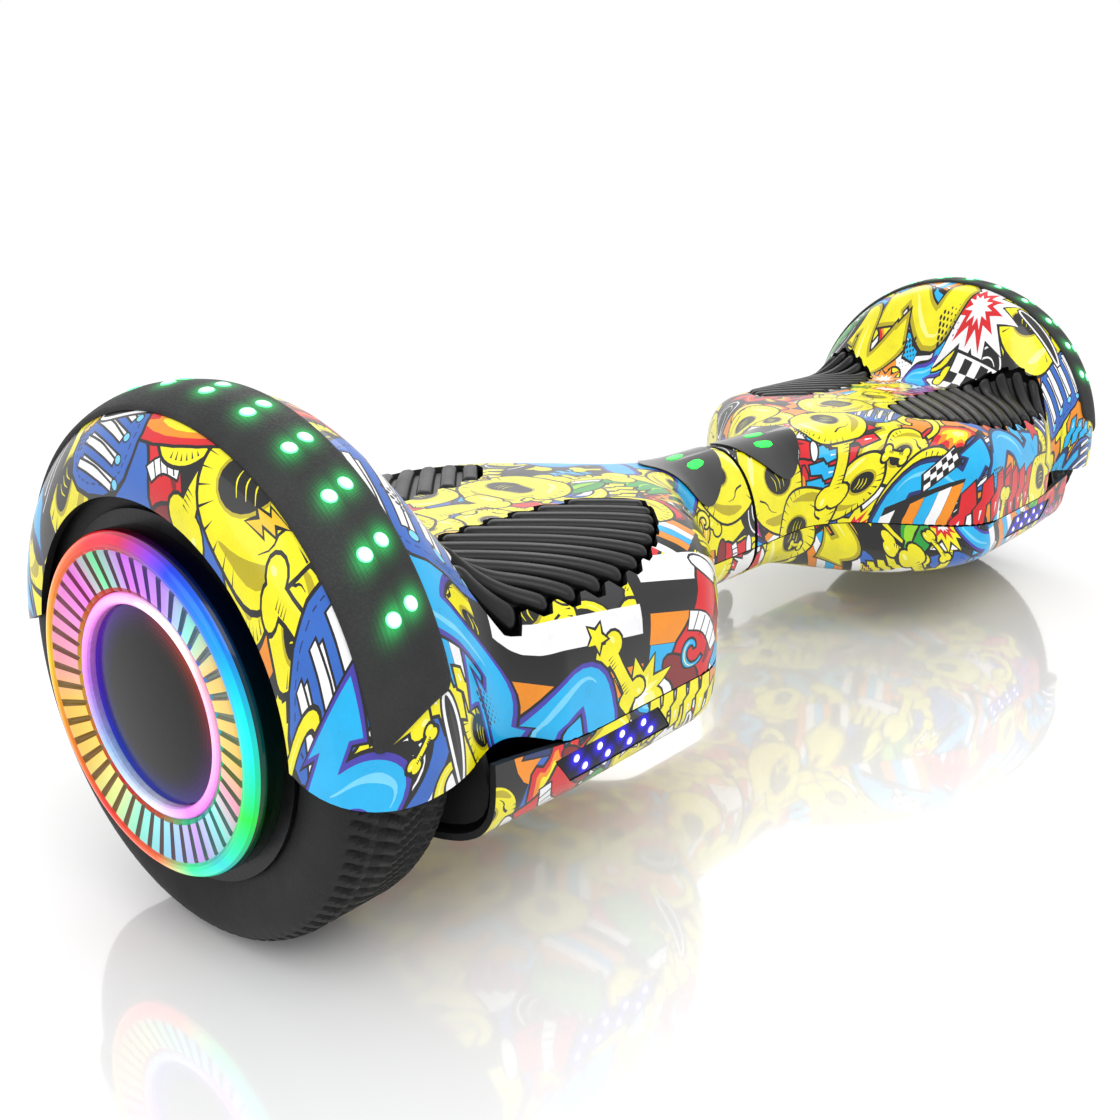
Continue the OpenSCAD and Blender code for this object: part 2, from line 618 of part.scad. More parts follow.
// ---------------------------------------------------------------- power and control
pack_x0 = wing_x0 + 11;
pack_z0 = belly_z + wall + 3;
module battery_pack() {
    color("royalblue") for (i = [0 : 4]) for (k = [-1, 1])
        translate([pack_x0 + i * battery_l / 5, k > 0 ? 0.2 : -battery_w / 2, pack_z0 + 2])
            cube([battery_l / 5 - 0.4, battery_w / 2 - 0.2, battery_h - 2]);
    color("royalblue") translate([pack_x0, -battery_w / 2, pack_z0]) cube([battery_l - 0.4, battery_w, 2.2]);
}
module battery_strap() {
    w = battery_w / 2 + gap;
    color("dimgray") {
        translate([pack_x0 + battery_l / 2 - 10, -w - 1.2, pack_z0 - 1.2]) cube([20, 2 * w + 2.4, 1.2]);
        for (k = [-1, 1]) translate([pack_x0 + battery_l / 2 - 10, k > 0 ? w : -w - 1.2, pack_z0 - 0.5])
            cube([20, 1.2, wing_z - pack_z0 + 0.5]);
    }
}
board_z = belly_z + 18;
module main_board() {
    x0 = wing_x0 + 13;
    color("darkgreen") translate([x0, -34, board_z]) cube([92, 68, 1.6]);
    color("silver") {
        for (s = [6, 86], y = [-29, 29]) translate([x0 + s, y, board_z + 1]) cylinder(r = 3, h = wing_z - board_z - 1);
        for (i = [0 : 6]) translate([x0 + 22, -24 + i * 3.4, board_z + 1.5]) cube([46, 1.4, 12]);
        translate([x0 + 22, -24, board_z + 1.5]) cube([46, 21.8, 2]);
    }
    color("dimgray") {
        for (i = [0 : 2]) translate([x0 + 26 + i * 16, 14, board_z + 1.5]) cylinder(r = 5, h = 13);
        for (i = [0 : 4]) translate([x0 + 16 + i * 13, 24, board_z + 1.5]) cube([9, 7, 6]);
    }
}
// Aluminium plate under the board, with shallow fins on its belly
module heat_sink() {
    x0 = wing_x0 + 13;
    color("silver") difference() {
        translate([x0 + 1, -33, board_z - 7]) cube([90, 66, 7]);
        for (i = [0 : 10]) translate([x0 + 5, -30 + i * 5.6, board_z - 8]) cube([82, 2.4, 3]);
    }
}
module speaker() {
    x = tube_reach + 26;
    color("dimgray") {
        translate([x, 0, belly_z + 8]) difference() {
            cylinder(r = 14, h = 8);
            translate([0, 0, -1]) cylinder(r1 = 12, r2 = 5, h = 4);
        }
        translate([x - 6, -8, belly_z + 15]) cube([12, 16, spine_z0 - belly_z - 15]);
    }
}
// Round socket with two ears under its flange that carry the cap's hinge pin
flange_r = socket_r + 2.2;
cap_t = 1.8;
cap_pin_r = 1;
knuckle_r = cap_pin_r + 0.9;
knuckle_w = 7.2;
hinge_y = rear_y + 7;
hinge_z = charge_z - flange_r - 1.8;
module charge_socket() {
    color("dimgray") difference() {
        union() {
            charge_axis(rear_y - 14, rear_y + 4, socket_r);
            charge_axis(rear_y + 3, rear_y + 5.6, flange_r);
            for (k = [-1, 1]) translate([charge_x + k * 5 - 1, rear_y + 3, hinge_z - 1.6]) {
                cube([2, 2.6, 6]);
                cube([2, 5.4, 3.8]);
            }
        }
        charge_axis(rear_y - 9, rear_y + 6, socket_r - 2.5);
    }
    color("silver") translate([charge_x - 6, hinge_y, hinge_z]) rotate([0, 90, 0]) cylinder(r = cap_pin_r, h = 12);
}
// The cap hangs open from its pin and swings up over the socket
cap_open = 178;
module charge_cap() {
    color([0.1, 0.1, 0.1]) translate([0, hinge_y, hinge_z]) rotate([-cap_open, 0, 0])
        translate([0, -hinge_y, -hinge_z]) difference() {
            union() {
                charge_axis(rear_y + 6.2, rear_y + 6.2 + cap_t, socket_r + 1.6);
                translate([charge_x - knuckle_w / 2, rear_y + 6.2, hinge_z]) cube([knuckle_w, cap_t, 4.4]);
                translate([charge_x - knuckle_w / 2, hinge_y, hinge_z]) rotate([0, 90, 0])
                    cylinder(r = knuckle_r, h = knuckle_w);
            }
            translate([charge_x - 5, hinge_y, hinge_z]) rotate([0, 90, 0]) cylinder(r = cap_pin_r + run_fit, h = 10);
        }
}
module power_button() {
    color("crimson") {
        button_axis(rear_y - 10, rear_y + 5.8, button_r);
        button_axis(rear_y - 9, rear_y - 7.4, button_r + 2);
    }
}

// ---------------------------------------------------------------- the assembly
on(-1) top_shell();  // left_top_shell
on(-1) bottom_shell(false);  // left_bottom_shell
on(-1) frame(tube_r);  // left_frame
on(-1) axle_clamp();  // left_axle_clamp
on(-1) wheel_liner();  // left_wheel_liner
on(-1) pad(-1);  // left_front_pad
on(-1) pad(1);  // left_rear_pad
on(-1) fender_strip();  // left_fender_strip
on(-1) fender_lights();  // left_fender_lights
on(-1) waist_panel();  // left_waist_panel
on(-1) waist_lights();  // left_waist_lights
on(-1) headlight_lens();  // left_headlight_lens
on(-1) headlight_leds();  // left_headlight_leds
on(-1) sensor_board();  // left_sensor_board
on(-1) screws();  // left_screws
on(-1) stator();  // left_stator
on(-1) axle();  // left_axle
on(-1) tyre();  // left_tyre
on(-1) rim();  // left_rim
on(-1) magnets();  // left_magnets
on(-1) bearings();  // left_bearings
on(-1) wheel_cover();  // left_wheel_cover
on(-1) cover_ring();  // left_cover_ring
on(-1) cover_disc();  // left_cover_disc
on(-1) battery_pack();
on(-1) battery_strap();
pivot_tube();
waist_seal();
on(1) top_shell();  // right_top_shell
on(1) bottom_shell(true);  // right_bottom_shell
on(1) frame(sleeve_r);  // right_frame
on(1) axle_clamp();  // right_axle_clamp
on(1) wheel_liner();  // right_wheel_liner
on(1) pad(-1);  // right_front_pad
on(1) pad(1);  // right_rear_pad
on(1) fender_strip();  // right_fender_strip
on(1) fender_lights();  // right_fender_lights
on(1) waist_panel();  // right_waist_panel
on(1) waist_lights();  // right_waist_lights
on(1) headlight_lens();  // right_headlight_lens
on(1) headlight_leds();  // right_headlight_leds
on(1) sensor_board();  // right_sensor_board
on(1) screws();  // right_screws
on(1) stator();  // right_stator
on(1) axle();  // right_axle
on(1) tyre();  // right_tyre
on(1) rim();  // right_rim
on(1) magnets();  // right_magnets
on(1) bearings();  // right_bearings
on(1) wheel_cover();  // right_wheel_cover
on(1) cover_ring();  // right_cover_ring
on(1) cover_disc();  // right_cover_disc
main_board();
heat_sink();
speaker();
pivot_bushings();
pivot_circlip();
power_button();
charge_socket();
charge_cap();
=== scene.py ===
"""Visual model of a self-balancing board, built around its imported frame.

The frame's axes are kept: +X along the wheel axle toward the right half, +Y toward the rear
and +Z up. Sizes inside the classes are millimetres, and MM turns them into metres when a mesh
is written. Each half is drawn on the +X side, and the left one is mirrored.
"""

import json
import logging
import math
import random
from dataclasses import dataclass, field
from enum import Enum
from typing import Callable, Sequence

import bpy
import numpy as np
from mathutils import Matrix, Vector
from mathutils.geometry import delaunay_2d_cdt


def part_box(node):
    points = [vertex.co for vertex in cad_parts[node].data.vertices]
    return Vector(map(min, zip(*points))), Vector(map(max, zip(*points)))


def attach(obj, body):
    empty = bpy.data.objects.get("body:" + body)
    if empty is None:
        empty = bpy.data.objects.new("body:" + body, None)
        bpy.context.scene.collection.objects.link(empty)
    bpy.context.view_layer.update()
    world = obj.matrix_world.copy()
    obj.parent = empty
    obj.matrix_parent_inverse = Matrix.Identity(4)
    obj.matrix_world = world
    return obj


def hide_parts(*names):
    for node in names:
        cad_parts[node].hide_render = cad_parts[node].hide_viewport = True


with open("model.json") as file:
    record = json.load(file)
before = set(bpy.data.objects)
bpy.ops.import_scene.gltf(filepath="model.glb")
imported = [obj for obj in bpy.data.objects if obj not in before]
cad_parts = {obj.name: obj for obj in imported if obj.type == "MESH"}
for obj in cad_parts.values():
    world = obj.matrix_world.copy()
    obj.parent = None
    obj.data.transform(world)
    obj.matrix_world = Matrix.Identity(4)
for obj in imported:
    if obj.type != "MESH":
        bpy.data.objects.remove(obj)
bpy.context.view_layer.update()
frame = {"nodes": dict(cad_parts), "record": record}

MM = 0.001
LOG = logging.getLogger("board")

Array = np.ndarray
Outline = Array
Layer = tuple[Outline, "Ink"]


# ---- small helpers
def ease(start: float, end: float, x: Array) -> Array:
    """Return a smooth step from 0 at start to 1 at end."""
    t = np.clip((np.asarray(x, float) - start) / (end - start), 0.0, 1.0)
    return t * t * (3.0 - 2.0 * t)


def mix(a: Array, b: Array, share: Array) -> Array:
    """Return the value that lies a share of the way from a to b."""
    return a + (b - a) * share


def signed_power(value: Array, exponent: Array) -> Array:
    """Return |value| to a power, with the sign of value."""
    return np.sign(value) * np.abs(value) ** exponent


def linear(colour: Sequence[float]) -> tuple[float, float, float]:
    """Return an sRGB colour as scene-linear red, green and blue."""
    return tuple(c / 12.92 if c <= 0.04045 else ((c + 0.055) / 1.055) ** 2.4 for c in colour[:3])


def half_box(node: str) -> tuple[Vector, Vector]:
    """Return a frame node's lowest and highest corners in millimetres."""
    low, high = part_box(node)
    return low / MM, high / MM


# ---- flat outlines
def area_of(outline: Outline) -> float:
    """Return the signed area of a closed outline, positive when it turns left."""
    after = np.roll(outline, -1, 0)
    return 0.5 * float(np.sum(outline[:, 0] * after[:, 1] - after[:, 0] * outline[:, 1]))


def grown(outline: Outline, distance: float) -> Outline:
    """Move every edge of a closed outline outwards.

    Args:
        outline: Closed outline as an (n, 2) array.
        distance: Distance to move, negative to shrink.

    Returns:
        The moved outline, with the same number of points.
    """
    turn = 1.0 if area_of(outline) > 0 else -1.0
    before = outline - np.roll(outline, 1, 0)
    after = np.roll(outline, -1, 0) - outline
    before /= np.linalg.norm(before, axis=1, keepdims=True) + 1e-9
    after /= np.linalg.norm(after, axis=1, keepdims=True) + 1e-9
    first = np.stack([before[:, 1], -before[:, 0]], 1) * turn
    second = np.stack([after[:, 1], -after[:, 0]], 1) * turn
    share = np.maximum(1.0 + np.sum(first * second, 1), 0.6)[:, None]
    return outline + (first + second) * distance / share


def winding(outline: Outline, spots: Array) -> Array:
    """Tell which places a closed outline goes round, also where it crosses itself."""
    turns = np.zeros(len(spots), int)
    x, y = spots[:, 0], spots[:, 1]
    for (ax, ay), (bx, by) in zip(outline, np.roll(outline, -1, 0)):
        left = (bx - ax) * (y - ay) - (x - ax) * (by - ay)
        turns += (ay <= y) & (by > y) & (left > 0)
        turns -= (ay > y) & (by <= y) & (left < 0)
    return turns != 0


def rounded(outline: Sequence[Sequence[float]], times: int = 2, size: float = 1.0) -> Outline:
    """Scale a closed outline and cut its corners until it is smooth.

    Args:
        outline: Closed outline as an (n, 2) array or a list of pairs.
        times: How often every corner is cut.
        size: Scale of the outline.

    Returns:
        The smooth outline.
    """
    points = np.asarray(outline, float) * size
    for _ in range(times):
        after = np.roll(points, -1, 0)
        points = np.stack([mix(points, after, 0.25), mix(points, after, 0.75)], 1).reshape(-1, 2)
    return points


def smooth_path(path: Sequence[Sequence[float]], times: int = 2, size: float = 1.0) -> Outline:
    """Scale an open path and cut its corners, keeping both of its ends.

    Args:
        path: Open path as an (n, 2) array or a list of pairs.
        times: How often every corner is cut.
        size: Scale of the path.

    Returns:
        The smooth path.
    """
    points = np.asarray(path, float) * size
    for _ in range(times):
        inner = np.stack([mix(points[:-1], points[1:], 0.25), mix(points[:-1], points[1:], 0.75)], 1)
        points = np.concatenate([points[:1], inner.reshape(-1, 2)[1:-1], points[-1:]])
    return points


def oval(x: float, y: float, across: float, up: float, points: int = 14, lean: float = 0.0) -> Outline:
    """Return an ellipse with half-axes across and up, turned by lean radians."""
    angle = np.linspace(0.0, 2.0 * math.pi, points, endpoint=False)
    flat = np.stack([across * np.cos(angle), up * np.sin(angle)], 1)
    return turned(flat, lean) + (x, y)


def turned(outline: Outline, angle: float) -> Outline:
    """Return an outline turned about the origin by an angle in radians."""
    c, s = math.cos(angle), math.sin(angle)
    return outline @ np.array([[c, s], [-s, c]])


def band(path: Outline, widths: Sequence[float]) -> Outline:
    """Widen a path into a closed strip.

    Args:
        path: Middle line as an (n, 2) array.
        widths: Full widths spread evenly from the start to the end of the path.

    Returns:
        The strip's outline.
    """
    step = np.gradient(path, axis=0)
    step /= np.linalg.norm(step, axis=1, keepdims=True) + 1e-9
    side = np.stack([-step[:, 1], step[:, 0]], 1)
    half = np.interp(np.linspace(0, 1, len(path)), np.linspace(0, 1, len(widths)), widths) / 2
    return np.concatenate([path - side * half[:, None], (path + side * half[:, None])[::-1]])


# ---- outer form
@dataclass(frozen=True)
class BoardForm:
    """Outer form of one half. s is the distance from the middle of the board."""

    axle_z: float
    half_len: float
    fender_r: float
    deck_half_w: float
    belly_z: float
    tyre_in: float
    tyre_out: float
    deck_rise: float = 35.0
    seam_drop: float = 17.0
    waist_rise: float = 30.0
    waist_drop: float = 33.0
    waist_half_w: float = 26.0
    lip_drop: float = 28.0
    shell_gap: float = 0.5
    half_gap: float = 1.2
    crown_back: float = 26.0
    face_length: float = 42.0

    @classmethod
    def from_frame(cls) -> "BoardForm":
        """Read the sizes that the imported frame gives."""
        tyre_low, tyre_high = half_box("right_tyre")
        top_high = half_box("right_top_shell")[1]
        bottom_low, bottom_high = half_box("right_bottom_shell")
        axle_z = (tyre_low.z + tyre_high.z) / 2
        return cls(axle_z=axle_z, half_len=top_high.x, fender_r=top_high.z - axle_z,
                   deck_half_w=bottom_high.y, belly_z=bottom_low.z, tyre_in=tyre_low.x,
                   tyre_out=tyre_high.x)

    @property
    def crown_x(self) -> float:
        """Return where the fender's crown starts to turn down to its lip."""
        return self.half_len - self.crown_back

    @property
    def deck_end(self) -> float:
        """Return where the deck starts to rise into the fender."""
        return self.half_len - 85.0

    @property
    def blend_end(self) -> float:
        """Return where the section has become the fender's arch."""
        return self.half_len - 44.0

    @property
    def lip_r(self) -> float:
        """Return the radius of the opening in the fender's outer face."""
        return self.fender_r - self.lip_drop

    @property
    def top_end(self) -> float:
        """Return the last distance along the upper skin, at the fender's lip."""
        return self.crown_x + self.face_length

    def seam_at(self, s: Array) -> Array:
        """Return the height of the seam between the two shells."""
        base = self.axle_z - self.seam_drop
        return base + 4.0 * (1 - ease(60, 120, s)) + 6.0 * ease(self.deck_end - 13, self.blend_end + 1, s)

    def half_width_at(self, s: Array) -> Array:
        """Return half of the body's width at the seam."""
        return mix(self.waist_half_w, self.deck_half_w, ease(40, 132, s))

    def section(self, s: Array, t: Array, power: Array, base: Array, far: Array) -> Array:
        """Return a point on a rounded section that runs from the front edge to the rear edge.

        Args:
            s: Distance from the middle of the board.
            t: Place round the section, 0 at the front and 1 at the rear.
            power: Exponent of the section, 2 for an ellipse and more for a boxier one.
            base: Height of the section's two edges.
            far: Height of the section's middle.

        Returns:
            Points with x, y and z along the last axis.
        """
        angle = math.pi * t
        across = -self.half_width_at(s) * signed_power(np.cos(angle), 2.0 / power)
        up = base + (far - base) * np.maximum(np.sin(angle), 0.0) ** (2.0 / power)
        return np.stack(np.broadcast_arrays(s, across, up), -1)

    def fender(self, x: Array, radius: Array, t: Array) -> Array:
        """Return a point on the fender's arch about the axle."""
        drop = np.clip((self.fender_r - radius) / self.lip_drop, 0.0, 1.0)
        front_z = self.axle_z - self.seam_drop + 6.0 + 9.0 * drop ** 1.5
        rear_z = front_z + 16.0 * ease(self.blend_end, self.crown_x + 14, x)
        start = np.arcsin(np.clip((front_z - self.axle_z) / radius, -1, 1))
        end = math.pi - np.arcsin(np.clip((rear_z - self.axle_z) / radius, -1, 1))
        angle = mix(start, end, t)
        return np.stack(np.broadcast_arrays(
            x, -radius * np.cos(angle), self.axle_z + radius * np.sin(angle)), -1)

    def top(self, p: Array, t: Array) -> Array:
        """Return a point on the upper skin.

        Args:
            p: Distance along the skin. Past the fender's crown it follows the outer face.
            t: Place round the section, 0 at the front and 1 at the rear.

        Returns:
            Points with x, y and z along the last axis.
        """
        p, t = np.broadcast_arrays(np.asarray(p, float), np.asarray(t, float))
        s = np.minimum(p, self.crown_x)
        power = mix(2.1, 4.4, ease(25, 110, s))
        crown = self.axle_z + mix(self.waist_rise, self.deck_rise, ease(30, 110, s))
        deck = self.section(s, t, power, self.seam_at(s), crown)
        turn = np.clip((p - self.crown_x) / self.face_length, 0.0, 1.0) * math.pi / 2
        face_x = self.crown_x + self.crown_back * np.sin(turn)
        face_r = self.lip_r + self.lip_drop * np.maximum(np.cos(turn), 0.0) ** 0.9
        arch_r = self.fender_r - 0.011 * np.minimum(s - self.crown_x, 0.0) ** 2
        past = p > self.crown_x
        arch = self.fender(np.where(past, face_x, s), np.where(past, face_r, arch_r), t)
        return mix(deck, arch, ease(self.deck_end, self.blend_end, s)[..., None])

    def bottom(self, p: Array, t: Array) -> Array:
        """Return a point on the lower skin, with p and t as for the upper one."""
        p, t = np.broadcast_arrays(np.asarray(p, float), np.asarray(t, float))
        power = mix(2.1, 3.8, ease(25, 110, p))
        belly = mix(self.axle_z - self.waist_drop, self.belly_z, ease(20, 105, p))
        return self.section(p, t, power, self.seam_at(p) - self.shell_gap, belly)


class Face(Enum):
    """The two skins of a half."""

    TOP = 1
    BOTTOM = -1


class SkinMap:
    """Flat working space of a curved skin: p along the board and v across it, in millimetres."""

    PLAN_REACH = 86.0

    def __init__(self, form: BoardForm, face: Face, end: float) -> None:
        """Measure the skin's sections.

        Args:
            form: Outer form of the half.
            face: Which of the two skins this is.
            end: Last distance along the skin.
        """
        self.face = face
        self.surface: Callable[[Array, Array], Array] = form.top if face is Face.TOP else form.bottom
        self.start = form.half_gap
        self.end = end
        self.rows = np.linspace(self.start, self.end, 260)
        self.turns = np.linspace(0.0, 1.0, 401)
        points = self.surface(self.rows[:, None], self.turns[None, :])
        steps = np.linalg.norm(np.diff(points, axis=1), axis=2)
        arc = np.concatenate([np.zeros((len(self.rows), 1)), np.cumsum(steps, 1)], 1)
        self.arc = arc - arc[:, 200:201]
        self.shares = np.linspace(-1.0, 1.0, 241)
        self.front = -self.arc[:, 0]
        self.rear = self.arc[:, -1]
        scale = np.where(self.shares[None, :] < 0, self.front[:, None], self.rear[:, None])
        wanted = self.shares[None, :] * scale
        self.turn_table = np.stack([np.interp(w, a, self.turns) for w, a in zip(wanted, self.arc)])
        self.plan_y = np.linspace(-self.PLAN_REACH, self.PLAN_REACH, 173)
        inner = slice(20, -20)
        self.plan_table = np.stack([np.interp(self.plan_y, y[inner],
                                              self.turns[inner]) for y in points[..., 1]])

    @staticmethod
    def lookup(table: Array, row: Array, column: Array) -> Array:
        """Read a table between its rows and columns.

        Args:
            table: Values as a (rows, columns) array.
            row: Row numbers, with their fractions.
            column: Column numbers, with their fractions.

        Returns:
            The value at each place.
        """
        row = np.clip(row, 0, table.shape[0] - 1.001)
        column = np.clip(column, 0, table.shape[1] - 1.001)
        i, j = row.astype(int), column.astype(int)
        a, b = row - i, column - j
        low = mix(table[i, j], table[i, j + 1], b)
        high = mix(table[i + 1, j], table[i + 1, j + 1], b)
        return mix(low, high, a)

    def turn_of(self, p: Array, v: Array) -> Array:
        """Return the place round the section for points of the flat space."""
        front = np.interp(p, self.rows, self.front)
        rear = np.interp(p, self.rows, self.rear)
        share = np.clip(v / np.where(v < 0, front, rear), -1.0, 1.0)
        row = (p - self.start) / (self.end - self.start) * (len(self.rows) - 1)
        return self.lookup(self.turn_table, row, (share + 1) / 2 * (len(self.shares) - 1))

    def place(self, flat: Array) -> tuple[Array, Array]:
        """Lay flat points on the skin.

        Args:
            flat: Points as an (n, 2) array of p and v.

        Returns:
            The points in space and the outward normals there.
        """
        p, v = flat[:, 0], flat[:, 1]
        t = self.turn_of(p, v)
        point = self.surface(p, t)
        step = 0.35
        along = self.surface(np.minimum(p + step, self.end), t) - self.surface(np.maximum(p - step,
                                                                                          self.start), t)
        small = 0.0015
        inner = np.clip(t, 0.004, 0.996)
        across = self.surface(p, inner + small) - self.surface(p, inner - small)
        normal = np.cross(along, across) * self.face.value
        normal /= np.linalg.norm(normal, axis=1, keepdims=True) + 1e-12
        return point, normal

    def from_plan(self, plan: Array) -> Array:
        """Turn points given as s and y, seen from above, into flat points."""
        spots = np.asarray(plan, float)
        row = np.interp(spots[:, 0], self.rows, np.arange(len(self.rows)))
        column = np.interp(spots[:, 1], self.plan_y, np.arange(len(self.plan_y)))
        turn = self.lookup(self.plan_table, row, column)
        v = self.lookup(self.arc, row, turn * (len(self.turns) - 1))
        return np.stack([spots[:, 0], v], 1)

    def from_side(self, s: float, value: float, axis: int, front: bool | None = None) -> tuple[float,
                                                                                               float]:
        """Find the flat point that has a given y or z.

        Args:
            s: Distance from the middle of the board.
            value: The y (axis 1) or z (axis 2) that is wanted.
            axis: 1 for y and 2 for z.
            front: For z, whether the front or the rear half of the section is meant.

        Returns:
            The point's p and v.
        """
        turns = self.turns if front is None else self.turns[:201] if front else self.turns[200:]
        line = self.surface(np.full_like(turns, s), turns)
        order = np.argsort(line[:, axis])
        t = float(np.interp(value, line[order, axis], turns[order]))
        arc = [np.interp(t, self.turns, row) for row in self.arc]
        return s, float(np.interp(s, self.rows, arc))

    def border(self, step: float = 3.0) -> Outline:
        """Return the outline of the whole skin in the flat space."""
        along = np.linspace(self.start, self.end, int((self.end - self.start) / step))
        front = np.stack([along, -np.interp(along, self.rows, self.front)], 1)
        rear = np.stack([along, np.interp(along, self.rows, self.rear)], 1)

        def closing(p: float, low: float, high: float) -> Array:
            """Return the points along one end of the skin."""
            v = np.linspace(low, high, int((high - low) / step))[1:-1]
            return np.stack([np.full_like(v, p), v], 1)

        return np.concatenate([front, closing(self.end, front[-1, 1], rear[-1, 1]), rear[::-1],
                               closing(self.start, front[0, 1], rear[0, 1])[::-1]])


# ---- mesh drafts
class Draft:
    """Points and faces of a piece while it is being built, in millimetres."""

    def __init__(self) -> None:
        """Start an empty draft."""
        self.points: list[Array] = []
        self.faces: list[tuple[int, ...]] = []
        self.tints: list[tuple[float, ...]] = []
        self.slots: list[int] = []
        self.normals: list[Array] = []
        self.count = 0

    def add(self, points: Array, faces: Sequence[Sequence[int]],
            tints: Sequence[Sequence[float]] | None = None,
            slots: Sequence[int] | None = None, normals: Array | None = None) -> None:
        """Add loose points and faces.

        Args:
            points: Points as an (n, 3) array.
            faces: Indices into those points.
            tints: One red, green, blue and glow value for each face.
            slots: Index of each face's finish, all 0 if not given.
            normals: A normal for each corner of each face, in order.
        """
        self.faces.extend(tuple(int(i) + self.count for i in f) for f in faces)
        self.tints.extend(tints if tints is not None else [(1.0, 1.0, 1.0, 0.0)] * len(faces))
        self.slots.extend(slots if slots is not None else [0] * len(faces))
        self.points.append(np.asarray(points, float))
        self.count += len(points)
        if normals is not None:
            self.normals.append(normals)

    def add_grid(self, grid: Array, tints: Array | None = None, flip: bool = False) -> None:
        """Add a grid of quads whose last column joins the first one.

        Args:
            grid: Points as a (rows, columns, 3) array.
            tints: Values for each quad as a (rows - 1, columns, 4) array.
            flip: Whether the quads turn the other way round.
        """
        rows, columns = grid.shape[:2]
        index = np.arange(rows * columns).reshape(rows, columns)
        index = np.concatenate([index, index[:, :1]], 1)
        quads = np.stack([index[:-1, :-1], index[:-1, 1:], index[1:, 1:], index[1:, :-1]], -1).reshape(-1,
                                                                                                       4)
        quads = quads[:, ::-1] if flip else quads
        flat = None if tints is None else [tuple(t) for t in tints.reshape(-1, 4)]
        self.add(grid.reshape(-1, 3), quads.tolist(), flat)

    def build(self, name: str, finishes: Sequence[bpy.types.Material], mirrored: bool,
              sharp: float = 35.0) -> bpy.types.Object:
        """Write the draft as an object.

        Args:
            name: Name of the piece.
            finishes: Materials in the order of the face slots.
            mirrored: Whether the piece belongs to the left half.
            sharp: Angle in degrees above which an edge stays sharp.

        Returns:
            The new object, at the origin with its place in its mesh.
        """
        points = np.concatenate(self.points) * MM
        faces = self.faces
        if mirrored:
            points[:, 0] *= -1.0
            faces = [f[::-1] for f in faces]
        mesh = bpy.data.meshes.new(name)
        mesh.from_pydata(points.tolist(), [], faces)
        sizes = np.array([len(f) for f in faces])
        tint = mesh.color_attributes.new("tint", "FLOAT_COLOR", "CORNER")
        tint.data.foreach_set("color", np.repeat(np.asarray(self.tints, np.float32), sizes, 0).ravel())
        for finish in finishes:
            mesh.materials.append(finish)
        mesh.polygons.foreach_set("material_index", np.asarray(self.slots, np.int32))
        mesh.shade_smooth()
        if self.normals:
            corner = np.concatenate(self.normals)
            if mirrored:
                start = np.concatenate([[0], np.cumsum(sizes)[:-1]])
                order = np.concatenate([np.arange(a + n - 1, a - 1, -1) for a, n in zip(start, sizes)])
                corner = corner[order] * (-1.0, 1.0, 1.0)
            mesh.normals_split_custom_set(corner.tolist())
        else:
            mesh.set_sharp_from_angle(angle=math.radians(sharp))
        piece = bpy.data.objects.new(name, mesh)
        bpy.context.scene.collection.objects.link(piece)
        return piece


# ---- artwork
class Ink(Enum):
    """Printing inks, as sRGB shares of red, green and blue."""

    BLACK = (0.045, 0.045, 0.05)
    COAL = (0.16, 0.16, 0.17)
    WHITE = (0.95, 0.95, 0.96)
    YELLOW = (0.94, 0.90, 0.03)
    OCHRE = (0.72, 0.66, 0.02)
    LEMON = (0.98, 0.97, 0.55)
    GOLD = (0.93, 0.76, 0.10)
    RED = (0.84, 0.07, 0.12)
    MAROON = (0.50, 0.05, 0.08)
    ORANGE = (0.93, 0.55, 0.05)
    CYAN = (0.05, 0.69, 0.92)
    SKY = (0.45, 0.82, 0.97)
    BLUE = (0.17, 0.39, 0.74)
    NAVY = (0.09, 0.17, 0.42)
    PURPLE = (0.26, 0.22, 0.66)
    MAGENTA = (0.72, 0.10, 0.55)
    GREEN = (0.12, 0.62, 0.22)
    LIME = (0.58, 0.84, 0.12)

    @property
    def tint(self) -> tuple[float, float, float, float]:
        """Return the ink as scene-linear colour with no glow."""
        return (*linear(self.value), 0.0)


class Motif(Enum):
    """The drawn motifs of the print."""

    BONE = "bone"
    BOULDER = "boulder"
    STROKE = "stroke"
    RIBBONS = "ribbons"
    CONE = "cone"
    BURST = "burst"
    SWIRL = "swirl"
    FLAME = "flame"
    LACES = "laces"
    DOTS = "dots"
    CHECKER = "checker"
    LOOPS = "loops"
    SPEAR = "spear"
    SLIME = "slime"
    LEAF = "leaf"
    STAR = "star"
    BOLT = "bolt"
    SHARDS = "shards"


